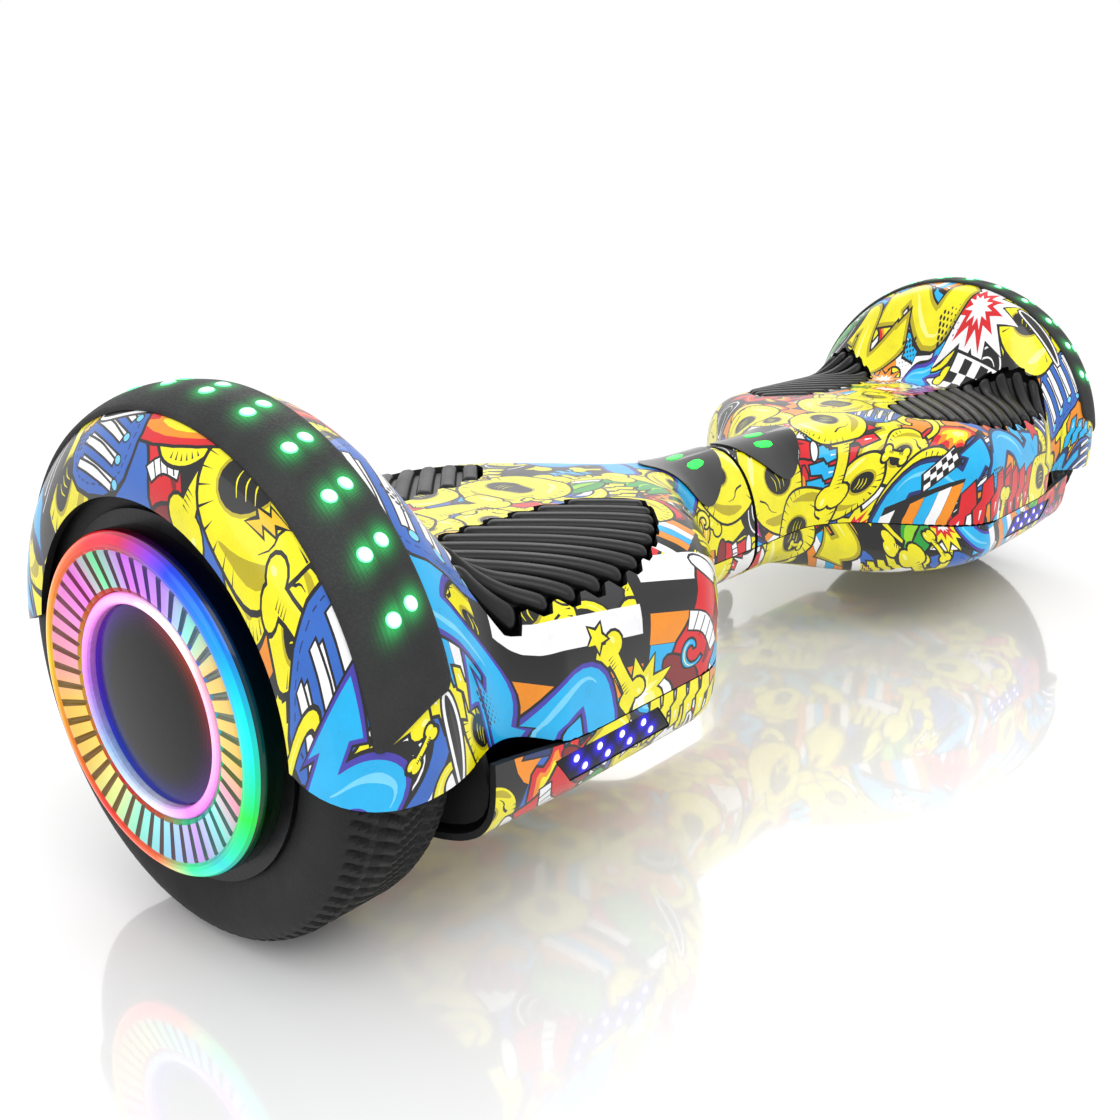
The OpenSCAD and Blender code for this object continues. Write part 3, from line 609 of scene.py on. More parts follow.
class Stencils:
    """Draws generic motifs, each a list of layers round its own origin, to a radius r in millimetres."""

    def __init__(self, seed: int) -> None:
        """Start with a fixed order of random draws."""
        self.rng = random.Random(seed)
        self.line = 1.0

    def spread(self, low: float, high: float) -> float:
        """Return a random value in a range."""
        return self.rng.uniform(low, high)

    def inked(self, outline: Outline, ink: Ink, line: float | None = None) -> list[Layer]:
        """Return a filled outline with a black line round it."""
        return [(grown(outline, self.line if line is None else line), Ink.BLACK), (outline, ink)]

    def lumpy(self, r: float, corners: int, rough: float) -> Outline:
        """Return a smooth irregular loop."""
        spots = []
        for k in range(corners):
            angle = 2 * math.pi * k / corners + self.spread(-0.15, 0.15)
            reach = r * (1.0 + self.spread(-rough, rough))
            spots.append((reach * math.cos(angle), reach * math.sin(angle)))
        return rounded(spots, 2)

    def hatching(self, r: float, count: int, start: float, sweep: float, depth: float) -> list[Layer]:
        """Return thin black wedges that point inwards from an arc."""
        layers = []
        for k in range(count):
            angle = start + sweep * k / max(count - 1, 1)
            out = np.array([math.cos(angle), math.sin(angle)])
            side = np.array([-out[1], out[0]])
            reach = depth * self.spread(0.6, 1.15)
            wedge = np.array([out * r - side * 0.34, out * r + side * 0.34, out * (r - reach)])
            layers.append((wedge, Ink.BLACK))
        return layers

    def bone(self, r: float) -> list[Layer]:
        """Draw a knobbed bone with hatching at both ends."""
        knob = r * 0.27
        knobs = [oval(x * r * 0.74, y * r * 0.2, knob, knob) for x in (-1, 1) for y in (-1, 1)]
        bar = rounded([(-0.8, -0.2), (0, -0.13), (0.8, -0.2), (0.8, 0.2), (0, 0.13), (-0.8, 0.2)], 1, r)
        shapes = knobs + [bar]
        layers = [(grown(shape, self.line), Ink.BLACK) for shape in shapes]
        layers += [(shape, Ink.YELLOW) for shape in shapes]
        for side in (-1, 1):
            for k in range(4):
                x = side * r * (0.28 + 0.09 * k)
                wedge = np.array([(x, -r * 0.15), (x + 0.5, -r * 0.15), (x + 0.1, r * 0.03)])
                layers.append((wedge, Ink.BLACK))
            layers.append((oval(side * r * 0.84, r * 0.22, knob * 0.35, knob * 0.22), Ink.LEMON))
        return layers

    def boulder(self, r: float) -> list[Layer]:
        """Draw a hatched pebble with one deep hollow, cracks and a shine."""
        loop = self.lumpy(r, 9, 0.12)
        layers = self.inked(loop, Ink.YELLOW, self.line * 1.2)
        layers.append((rounded([(-0.75, -0.45), (-0.1, -0.86), (0.72, -0.5), (0.1, -0.62)], 2, r),
                       Ink.OCHRE))
        layers.append((rounded([(-0.74, 0.1), (-0.5, 0.62), (0, 0.82), (-0.34, 0.5)], 2, r), Ink.LEMON))
        hollow = oval(r * 0.2, r * 0.05, r * 0.42, r * 0.3, 20, self.spread(-0.5, 0.5))
        layers += [(grown(hollow, self.line * 0.9), Ink.OCHRE), (hollow, Ink.BLACK)]
        for k in range(3):
            x = r * (0.02 + 0.14 * k)
            curve = smooth_path([(x, -r * 0.14), (x + r * 0.06, r * 0.02), (x, r * 0.16)], 2)
            layers.append((band(curve, [0.2, 0.6, 0.2]), Ink.YELLOW))
        layers += self.hatching(r * 0.93, 9, -1.2, 1.7, r * 0.26)
        layers += self.hatching(r * 0.93, 6, 2.6, 0.9, r * 0.2)
        crack = smooth_path([(-0.6, -0.1), (-0.4, -0.22), (-0.36, -0.4), (-0.16, -0.5)], 1, r)
        layers.append((band(crack, [1.0, 0.7, 0.2]), Ink.BLACK))
        return layers

    def stroke(self, r: float, fill: Ink = Ink.CYAN, rim: Ink = Ink.PURPLE,
               shine: Ink = Ink.SKY) -> list[Layer]:
        """Draw a fat bent stroke that ends in an arrow, with a rim and a shine."""
        bend = self.spread(0.35, 0.6) * r
        path = smooth_path([(-r * 0.95, -bend * 0.5), (-r * 0.5, bend), (-r * 0.02, bend * 0.3),
                            (r * 0.2, -bend * 0.9), (r * 0.62, -bend * 0.4)], 3)
        width = r * 0.42
        body = band(path, [width, width * 0.85, width])
        tip = path[-1]
        along = (tip - path[-3]) / np.linalg.norm(tip - path[-3])
        side = np.array([-along[1], along[0]])
        head = np.array([tip - along * 0.6 + side * width * 0.95, tip - along * 0.6 - side * width * 0.95,
                         tip + along * width * 1.05])
        head = head if area_of(head) > 0 else head[::-1]
        foot = np.array([path[0] + (0, width * 0.9), path[0] - (width * 0.55, 0),
                         path[0] - (0, width * 0.75), path[0] + (width * 0.5, 0)])
        shapes = [foot, body, head]
        layers = [(grown(shape, 2.6), Ink.BLACK) for shape in shapes]
        layers += [(grown(shape, 1.6), rim) for shape in shapes]
        layers += [(shape, fill) for shape in shapes]
        lift = path[4:-6] + np.array([-0.1, width * 0.2])
        layers.append((band(lift, [0.4, width * 0.2, 0.4]), shine))
        return layers

    def ribbons(self, r: float) -> list[Layer]:
        """Draw a patch of straight colour stripes."""
        inks = [Ink.ORANGE, Ink.WHITE, Ink.CYAN, Ink.ORANGE, Ink.BLACK, Ink.WHITE]
        step = r * 2 / len(inks)
        layers = [(np.array([(-r * 1.1, -r), (r * 1.1, -r), (r * 1.3, r),
                             (-r * 0.9, r)]), Ink.BLACK)]
        for k, ink in enumerate(inks):
            y = -r + k * step
            lean = 0.1 * k * r / len(inks)
            layers.append((np.array([(-r + lean, y + 0.2), (r + lean, y + 0.2),
                                     (r + lean, y + step), (-r + lean, y + step)]), ink))
        return layers

    def cone(self, r: float) -> list[Layer]:
        """Draw a red tapered tumbler with a white band and a dark mouth."""
        body = rounded([(-0.42, 0.62), (-0.1, -0.2), (-0.3, -0.85), (0.3, -0.9), (0.62, -0.1),
                        (0.6, 0.75)], 2, r)
        layers = self.inked(body, Ink.RED, self.line * 1.3)
        layers.append((rounded([(0.3, -0.7), (0.5, -0.05), (0.48, 0.55), (0.3, 0)], 2, r), Ink.MAROON))
        mouth = oval(r * 0.06, r * 0.66, r * 0.5, r * 0.2, 18, 0.12)
        layers += self.inked(mouth, Ink.MAROON)
        foot = oval(0, -r * 0.86, r * 0.34, r * 0.13, 16, -0.05)
        layers += self.inked(foot, Ink.WHITE)
        belt = band(smooth_path([(-0.2, -0.02), (0.15, -0.14), (0.56, 0.02)], 2, r), [r * 0.24] * 2)
        layers += self.inked(belt, Ink.WHITE, 0.7)
        for k in range(4):
            x = -r * 0.06 + k * r * 0.16
            layers.append((band(np.array([(x, -r * 0.2), (x + 0.4, r * 0.08)]), [0.55, 0.55]), Ink.BLACK))
        return layers

    def burst(self, r: float, ink: Ink = Ink.YELLOW, core: Ink = Ink.RED) -> list[Layer]:
        """Draw a many-pointed burst with a core."""
        points = self.rng.choice([9, 11, 12])
        spikes = []
        for k in range(points * 2):
            reach = r * (self.spread(0.85, 1.1) if k % 2 == 0 else 0.52)
            angle = math.pi * k / points
            spikes.append((reach * math.cos(angle), reach * math.sin(angle)))
        outline = np.array(spikes)
        layers = self.inked(outline, ink)
        layers += [(outline * 0.58, core), (outline * 0.3, Ink.WHITE)]
        return layers

    def swirl(self, r: float, ink: Ink = Ink.YELLOW) -> list[Layer]:
        """Draw a curled hook with a shine."""
        angle = np.linspace(0.3, 5.6, 22)
        reach = r * np.linspace(0.95, 0.25, 22)
        path = np.stack([reach * np.cos(angle), reach * np.sin(angle)], 1)
        body = band(path, [r * 0.1, r * 0.34, r * 0.3, r * 0.12])
        return self.inked(body, ink) + [(band(path[3:16], [0.2, r * 0.08, 0.2]), Ink.LEMON)]

    def flame(self, r: float) -> list[Layer]:
        """Draw three nested tongues of flame."""
        tongue = np.array([(-1.0, -0.35), (-0.2, -0.5), (0.55, -0.42), (1.1, -0.05), (0.5, -0.08),
                           (0.95, 0.42),
                           (0.25, 0.14), (0.4, 0.72), (-0.25, 0.26), (-0.5, 0.55), (-0.85, 0.1)]) * r
        outer = rounded(tongue, 1)
        layers = self.inked(outer, Ink.RED)
        for share, ink in ((0.74, Ink.ORANGE), (0.5, Ink.YELLOW), (0.24, Ink.LEMON)):
            layers.append((outer * share - (r * (1 - share) * 0.35, r * (1 - share) * 0.12), ink))
        return layers

    def laces(self, r: float) -> list[Layer]:
        """Draw a stitched blue panel crossed by white laces."""
        panel = rounded([(-1, -0.8), (0.9, -0.9), (1, 0.75), (-0.85, 0.9)], 2, r)
        layers = self.inked(panel, Ink.BLUE, self.line * 1.2)
        inset = grown(panel, -r * 0.12)
        for k in range(len(inset) * 2):
            share = k / 2 % 1
            a = mix(inset[k // 2], inset[(k // 2 + 1) % len(inset)], share)
            b = mix(inset[k // 2], inset[(k // 2 + 1) % len(inset)], share + 0.28)
            layers.append((band(np.array([a, b]), [0.5, 0.5]), Ink.NAVY))
        count = 4
        for k in range(count):
            y = r * (-0.55 + 1.1 * k / (count - 1))
            for side in (-1, 1):
                path = smooth_path([(side * r * 0.62, y + side * r * 0.1), (0, y - side * r * 0.02),
                                    (-side * r * 0.5, y - side * r * 0.16)], 2)
                layers += self.inked(band(path, [r * 0.1, r * 0.13, r * 0.09]), Ink.WHITE, 0.7)
            layers += self.inked(oval(-r * 0.62, y - r * 0.1, r * 0.07, r * 0.07, 9), Ink.SKY, 0.5)
        return layers

    def dots(self, r: float, ink: Ink = Ink.BLACK) -> list[Layer]:
        """Draw a halftone of dots that shrink to one side."""
        layers = []
        for i in range(6):
            for j in range(5):
                size = r * 0.13 * (1.0 - i / 7)
                x = r * (-0.85 + 0.32 * i)
                y = r * (-0.62 + 0.31 * j + (0.155 if i % 2 else 0))
                layers.append((oval(x, y, size, size, 8), ink))
        return layers

    def checker(self, r: float) -> list[Layer]:
        """Draw a small chequered patch."""
        layers = self.inked(np.array([(-1, -0.62), (1, -0.5), (1, 0.62), (-1, 0.5)]) * r, Ink.WHITE)
        for i in range(6):
            for j in range(3):
                if (i + j) % 2 == 0:
                    x, y = -r + i * r / 3, -r * 0.56 + j * r * 0.36 + i * r * 0.02
                    cell = np.array([(0, 0), (r / 3, 0.01 * r), (r / 3, r * 0.36), (0, r * 0.35)])
                    layers.append((cell + (x, y), Ink.BLACK))
        return layers

    def loops(self, r: float) -> list[Layer]:
        """Draw thin white loops on a black patch."""
        layers: list[Layer] = [(self.lumpy(r, 8, 0.18), Ink.BLACK)]
        for k in range(3):
            angle = np.linspace(0.4, 5.4, 20) + k * 1.9
            reach = r * (0.72 - 0.18 * k)
            path = np.stack([reach * np.cos(angle) + r * 0.08 * k, reach * 0.8 * np.sin(angle)], 1)
            layers.append((band(path, [0.3, 1.0, 0.3]), Ink.WHITE))
        return layers

    def spear(self, r: float) -> list[Layer]:
        """Draw a long black blade with a white edge."""
        blade = rounded([(-1, 0), (-0.3, -0.13), (0.6, -0.15), (1, -0.02), (0.6, 0.1), (-0.3, 0.07)], 2, r)
        return [(grown(blade, 2.0), Ink.BLACK), (grown(blade, 1.1), Ink.WHITE), (blade, Ink.BLACK),
                (blade * (0.6, 0.25) + (r * 0.15, 0), Ink.COAL)]

    def slime(self, r: float) -> list[Layer]:
        """Draw a green sheet with drips and lighter veins."""
        spots = [(-r, r * 0.5), (-r, -r * 0.1)]
        for k in range(5):
            x = r * (-0.85 + 0.38 * k)
            spots += [(x, -r * self.spread(0.5, 0.95)), (x + r * 0.16, -r * self.spread(0.5, 0.9)),
                      (x + r * 0.22, -r * 0.1)]
        spots += [(r, 0), (r, r * 0.5)]
        sheet = rounded(spots, 2)
        layers = self.inked(sheet, Ink.GREEN, self.line * 1.2)
        for k in range(4):
            x = r * (-0.7 + 0.4 * k)
            vein = smooth_path([(x, r * 0.3), (x + r * 0.12, 0), (x + r * 0.02, -r * 0.34)], 2)
            layers.append((band(vein, [r * 0.06, r * 0.11, 0.4]), Ink.LIME))
        return layers

    def leaf(self, r: float) -> list[Layer]:
        """Draw a green leaf with a lighter half and veins."""
        blade = rounded([(-1, 0), (-0.3, -0.42), (0.5, -0.34), (1, 0), (0.4, 0.4), (-0.3, 0.38)], 2, r)
        layers = self.inked(blade, Ink.GREEN)
        layers.append((rounded([(-r * 0.8, 0.2), (r * 0.85, 0.2), (r * 0.36, r * 0.3),
                                (-r * 0.28, r * 0.28)], 1), Ink.LIME))
        layers.append((band(np.array([(-r * 0.85, 0), (0, 0.3), (r * 0.8, 0)]), [0.4, 0.9, 0.3]),
                       Ink.BLACK))
        return layers

    def star(self, r: float, ink: Ink = Ink.RED) -> list[Layer]:
        """Draw a five-pointed star."""
        spikes = [(r * (1.0 if k % 2 == 0 else 0.48) * math.cos(math.pi * k / 5),
                   r * (1.0 if k % 2 == 0 else 0.48) * math.sin(math.pi * k / 5)) for k in range(10)]
        return self.inked(np.array(spikes), ink)

    def bolt(self, r: float, ink: Ink = Ink.GOLD) -> list[Layer]:
        """Draw a zigzag bolt."""
        outline = np.array([(-1, 0.1), (-0.1, 0.42), (-0.22, 0.1), (0.5, 0.34), (0.36, 0.02), (1.1, 0.05),
                            (0.1, -0.4), (0.2, -0.12), (-0.5, -0.32), (-0.34, -0.02)]) * r
        return self.inked(outline if area_of(outline) > 0 else outline[::-1], ink)

    def shards(self, r: float, ink: Ink = Ink.RED) -> list[Layer]:
        """Draw a row of angular interlocking pieces."""
        layers: list[Layer] = []
        for k in range(5):
            x = r * (-0.9 + 0.42 * k)
            tall = r * self.spread(0.42, 0.72)
            foot = r * self.spread(0.35, 0.6)
            piece = np.array([(x, -foot), (x + r * 0.2, -foot * 0.8), (x + r * 0.22, -r * 0.05),
                              (x + r * 0.42, r * 0.02), (x + r * 0.36, tall), (x + r * 0.12, tall * 0.85),
                              (x + r * 0.1, r * 0.12), (x - r * 0.06, 0)])
            layers += self.inked(piece, ink)
            layers.append((band(np.array([(x + r * 0.08, -foot * 0.6), (x + r * 0.1, -r * 0.1)]),
                                [0.3, r * 0.05]), Ink.WHITE))
        return layers

    def draw(self, motif: Motif, r: float) -> list[Layer]:
        """Draw one motif in one of its own colourings."""
        if motif is Motif.STROKE:
            choice = self.rng.choice([(Ink.CYAN, Ink.PURPLE, Ink.SKY), (Ink.CYAN, Ink.NAVY, Ink.SKY),
                                      (Ink.YELLOW, Ink.OCHRE, Ink.LEMON),
                                      (Ink.RED, Ink.MAROON, Ink.ORANGE)])
            return self.stroke(r, *choice)
        if motif is Motif.SWIRL:
            return self.swirl(r, self.rng.choice([Ink.YELLOW, Ink.GOLD, Ink.YELLOW, Ink.CYAN]))
        if motif is Motif.SHARDS:
            return self.shards(r, self.rng.choice([Ink.RED, Ink.CYAN, Ink.YELLOW, Ink.MAGENTA]))
        if motif is Motif.STAR:
            return self.star(r, self.rng.choice([Ink.RED, Ink.YELLOW, Ink.WHITE, Ink.CYAN]))
        return getattr(self, motif.value)(r)


@dataclass(frozen=True)
class Placed:
    """One listed motif, with its colours where they matter."""

    motif: Motif
    p: float
    v: float
    radius: float
    turn: float = 0.0
    inks: tuple[Ink, ...] = ()


@dataclass
class PrintSheet:
    """Flat artwork for one skin, painted from the first layer to the last."""

    stencils: Stencils
    layers: list[Layer] = field(default_factory=list)

    def put(self, drawn: list[Layer], p: float, v: float, turn: float) -> None:
        """Lay a drawn motif on the sheet, turned by an angle in degrees."""
        for outline, ink in drawn:
            self.layers.append((turned(outline, math.radians(turn)) + (p, v), ink))

    def scatter(self, skin: SkinMap, step: float, motifs: Sequence[tuple[Motif, int]], low: float,
                high: float) -> None:
        """Cover a skin with motifs on a shaken grid.

        Args:
            skin: The skin to cover.
            step: Spacing of the grid.
            motifs: Motifs with their weights.
            low: Smallest radius of a motif.
            high: Largest radius of a motif.
        """
        rng = self.stencils.rng
        names = [motif for motif, weight in motifs for _ in range(weight)]
        spots = []
        for i in range(int((skin.end - skin.start) / step) + 1):
            p = skin.start + i * step
            reach = float(np.interp(p, skin.rows, np.maximum(skin.front, skin.rear)))
            for j in range(-int(reach / step) - 1, int(reach / step) + 2):
                spots.append((p + rng.uniform(-0.3, 0.3) * step,
                              (j + 0.5 * (i % 2) + rng.uniform(-0.3, 0.3)) * step))
        rng.shuffle(spots)
        for p, v in spots:
            drawn = self.stencils.draw(rng.choice(names), rng.uniform(low, high))
            self.put(drawn, p, v, rng.uniform(0, 360))

    def ground(self, skin: SkinMap) -> None:
        """Lay large plain patches under the motifs."""
        rng = self.stencils.rng
        inks = [Ink.BLACK, Ink.BLACK, Ink.COAL, Ink.YELLOW, Ink.BLUE, Ink.ORANGE, Ink.WHITE, Ink.RED]
        for i in range(int(skin.end / 30) + 1):
            for j in range(-5, 6):
                loop = self.stencils.lumpy(rng.uniform(18, 26), 7, 0.25)
                self.layers.append((loop + (i * 30 + rng.uniform(-8, 8), j * 30 + rng.uniform(-8, 8)),
                                    rng.choice(inks)))

    def arrange(self, placed: Sequence[Placed]) -> None:
        """Lay the listed motifs."""
        for item in placed:
            if item.inks:
                drawn = getattr(self.stencils, item.motif.value)(item.radius, *item.inks)
            else:
                drawn = self.stencils.draw(item.motif, item.radius)
            self.put(drawn, item.p, item.v, item.turn)


# ---- finishes
class Desk:
    """Places shader nodes for one material."""

    def __init__(self, name: str) -> None:
        """Start a material with its surface shader and its place in the frame."""
        self.material = bpy.data.materials.new(name)
        self.material.use_nodes = True
        self.tree = self.material.node_tree
        self.tree.nodes.clear()
        self.shader = self.node("ShaderNodeBsdfPrincipled")
        output = self.node("ShaderNodeOutputMaterial")
        self.join(self.shader, "BSDF", output, "Surface")
        self.place = self.node("ShaderNodeTexCoord")

    def node(self, kind: str, **settings: object) -> bpy.types.Node:
        """Add a node and set its properties."""
        made = self.tree.nodes.new(kind)
        for key, value in settings.items():
            setattr(made, key, value)
        return made

    def join(self, source: bpy.types.Node, output: str | int, target: bpy.types.Node,
             socket: str | int) -> None:
        """Link two nodes."""
        self.tree.links.new(source.outputs[output], target.inputs[socket])

    def set(self, **values: object) -> None:
        """Set the shader's own sockets, with _ for a space in their names."""
        for key, value in values.items():
            self.shader.inputs[key.replace("_", " ")].default_value = value

    def noise(self, scale: float, detail: float = 3.0, roughness: float = 0.55) -> bpy.types.Node:
        """Add a noise in the frame's own coordinates, with its scale in cycles per metre."""
        made = self.node("ShaderNodeTexNoise")
        made.inputs["Scale"].default_value = scale
        made.inputs["Detail"].default_value = detail
        made.inputs["Roughness"].default_value = roughness
        self.join(self.place, "Object", made, "Vector")
        return made

    def span(self, source: bpy.types.Node, output: str, low: float, high: float, start: float = 0.3,
             end: float = 0.7) -> bpy.types.Node:
        """Map a value from start..end to low..high."""
        made = self.node("ShaderNodeMapRange")
        for key, value in (("From Min", start), ("From Max", end), ("To Min", low), ("To Max", high)):
            made.inputs[key].default_value = value
        self.join(source, output, made, "Value")
        return made

    def relief(self, height: bpy.types.Node, output: str, depth: float, strength: float = 1.0) -> None:
        """Turn a height into the shader's bump, with its depth in metres."""
        bump = self.node("ShaderNodeBump")
        bump.inputs["Strength"].default_value = strength
        bump.inputs["Distance"].default_value = depth
        self.join(height, output, bump, "Height")
        self.join(bump, "Normal", self.shader, "Normal")

    def blend(self, share: bpy.types.Node, output: str, first: Sequence[float],
              second: Sequence[float]) -> bpy.types.Node:
        """Mix two plain colours by a value."""
        ramp = self.node("ShaderNodeValToRGB")
        ramp.color_ramp.elements[0].position = 0.32
        ramp.color_ramp.elements[1].position = 0.68
        ramp.color_ramp.elements[0].color = (*linear(first), 1.0)
        ramp.color_ramp.elements[1].color = (*linear(second), 1.0)
        self.join(share, output, ramp, "Fac")
        return ramp


@dataclass(frozen=True)
class PlainFinish:
    """A moulded, cast, ground or painted surface in one colour with grain and wear."""

    name: str
    colour: tuple[float, float, float]
    worn: tuple[float, float, float]
    metallic: float = 0.0
    smoothest: float = 0.35
    roughest: float = 0.5
    patch_scale: float = 40.0
    grain_scale: float = 900.0
    grain_depth: float = 0.00006
    coat: float = 0.0
    specular: float = 0.32

    def make(self) -> bpy.types.Material:
        """Build the material."""
        desk = Desk(self.name)
        desk.set(Metallic=self.metallic, Coat_Weight=self.coat, Specular_IOR_Level=self.specular)
        patches = desk.noise(self.patch_scale, 5.0, 0.62)
        tone = desk.blend(patches, "Fac", self.colour, self.worn)
        desk.join(tone, "Color", desk.shader, "Base Color")
        rough = desk.span(patches, "Fac", self.smoothest, self.roughest)
        desk.join(rough, "Result", desk.shader, "Roughness")
        desk.relief(desk.noise(self.grain_scale, 2.0), "Fac", self.grain_depth)
        return desk.material


@dataclass(frozen=True)
class PrintFinish:
    """Glossy clear coat over printed ink, which is read from the mesh."""

    name: str = "clear_coated_print"

    def make(self) -> bpy.types.Material:
        """Build the material."""
        desk = Desk(self.name)
        desk.set(Coat_Weight=0.4, Coat_Roughness=0.05, Specular_IOR_Level=0.3)
        ink = desk.node("ShaderNodeAttribute", attribute_name="tint")
        wash = desk.noise(70.0, 4.0)
        grain = desk.noise(1500.0, 2.0)
        shade = desk.span(wash, "Fac", 0.88, 1.04)
        fine = desk.span(grain, "Fac", 0.96, 1.03)
        both = desk.node("ShaderNodeMath", operation="MULTIPLY")
        desk.join(shade, "Result", both, 0)
        desk.join(fine, "Result", both, 1)
        scaled = desk.node("ShaderNodeVectorMath", operation="SCALE")
        desk.join(ink, "Color", scaled, 0)
        desk.join(both, "Value", scaled, "Scale")
        desk.join(scaled, "Vector", desk.shader, "Base Color")
        rough = desk.span(wash, "Fac", 0.26, 0.38)
        desk.join(rough, "Result", desk.shader, "Roughness")
        desk.relief(desk.noise(420.0, 2.0), "Fac", 0.00003, 0.5)
        return desk.material


@dataclass(frozen=True)
class GlowFinish:
    """A lit surface whose colour and brightness are read from the mesh."""

    name: str
    strength: float
    roughness: float = 0.25
    base_share: float = 0.5
    coat: float = 0.6
    grain_scale: float = 600.0
    grain_depth: float = 0.00002

    def make(self) -> bpy.types.Material:
        """Build the material."""
        desk = Desk(self.name)
        desk.set(Coat_Weight=self.coat, Coat_Roughness=0.08, Specular_IOR_Level=0.14)
        tint = desk.node("ShaderNodeAttribute", attribute_name="tint")
        grain = desk.noise(self.grain_scale, 2.0)
        share = desk.span(grain, "Fac", self.base_share * 0.85, self.base_share * 1.1)
        base = desk.node("ShaderNodeVectorMath", operation="SCALE")
        desk.join(tint, "Color", base, 0)
        desk.join(share, "Result", base, "Scale")
        desk.join(base, "Vector", desk.shader, "Base Color")
        desk.join(tint, "Color", desk.shader, "Emission Color")
        power = desk.node("ShaderNodeMath", operation="MULTIPLY")
        power.inputs[1].default_value = self.strength
        desk.join(tint, "Alpha", power, 0)
        desk.join(power, "Value", desk.shader, "Emission Strength")
        rough = desk.span(grain, "Fac", self.roughness * 0.8, self.roughness * 1.3)
        desk.join(rough, "Result", desk.shader, "Roughness")
        desk.relief(grain, "Fac", self.grain_depth)
        return desk.material


@dataclass(frozen=True)
class LeatherFinish:
    """Fine leather-like grain on black plastic, lit round its lamps by the mesh's glow."""

    name: str = "grained_strip"

    def make(self) -> bpy.types.Material:
        """Build the material."""
        desk = Desk(self.name)
        desk.set(Specular_IOR_Level=0.42)
        cells = desk.node("ShaderNodeTexVoronoi", feature="F1")
        cells.inputs["Scale"].default_value = 1150.0
        desk.join(desk.place, "Object", cells, "Vector")
        patches = desk.noise(55.0, 4.0)
        tone = desk.blend(patches, "Fac", (0.10, 0.10, 0.105), (0.15, 0.15, 0.155))
        desk.join(tone, "Color", desk.shader, "Base Color")
        tint = desk.node("ShaderNodeAttribute", attribute_name="tint")
        desk.join(tint, "Color", desk.shader, "Emission Color")
        desk.join(tint, "Alpha", desk.shader, "Emission Strength")
        rough = desk.span(cells, "Distance", 0.52, 0.68, 0.0, 0.6)
        desk.join(rough, "Result", desk.shader, "Roughness")
        desk.relief(cells, "Distance", 0.00012, 0.8)
        return desk.material


class Slot(Enum):
    """The record's finish slots that the pieces use."""

    SHELL = "printed_shell"
    FRAME = "cast_frame"
    PLASTIC = "black_plastic"
    STRIP = "textured_strip"
    GREEN = "green_light"
    LENS = "dark_lens"
    VIOLET = "blue_light"
    BOARD = "circuit_board"
    DARK_STEEL = "black_steel"
    COPPER = "copper_windings"
    STEEL = "bright_steel"
    TYRE = "tyre_rubber"
    RIM = "rim_metal"
    COVER = "lit_cover"
    RING = "lit_ring"
    DISC = "gloss_disc"
    PAD = "pad_rubber"
    BATTERY = "battery_wrap"
    BRONZE = "bushing_bronze"
    RED = "red_button"


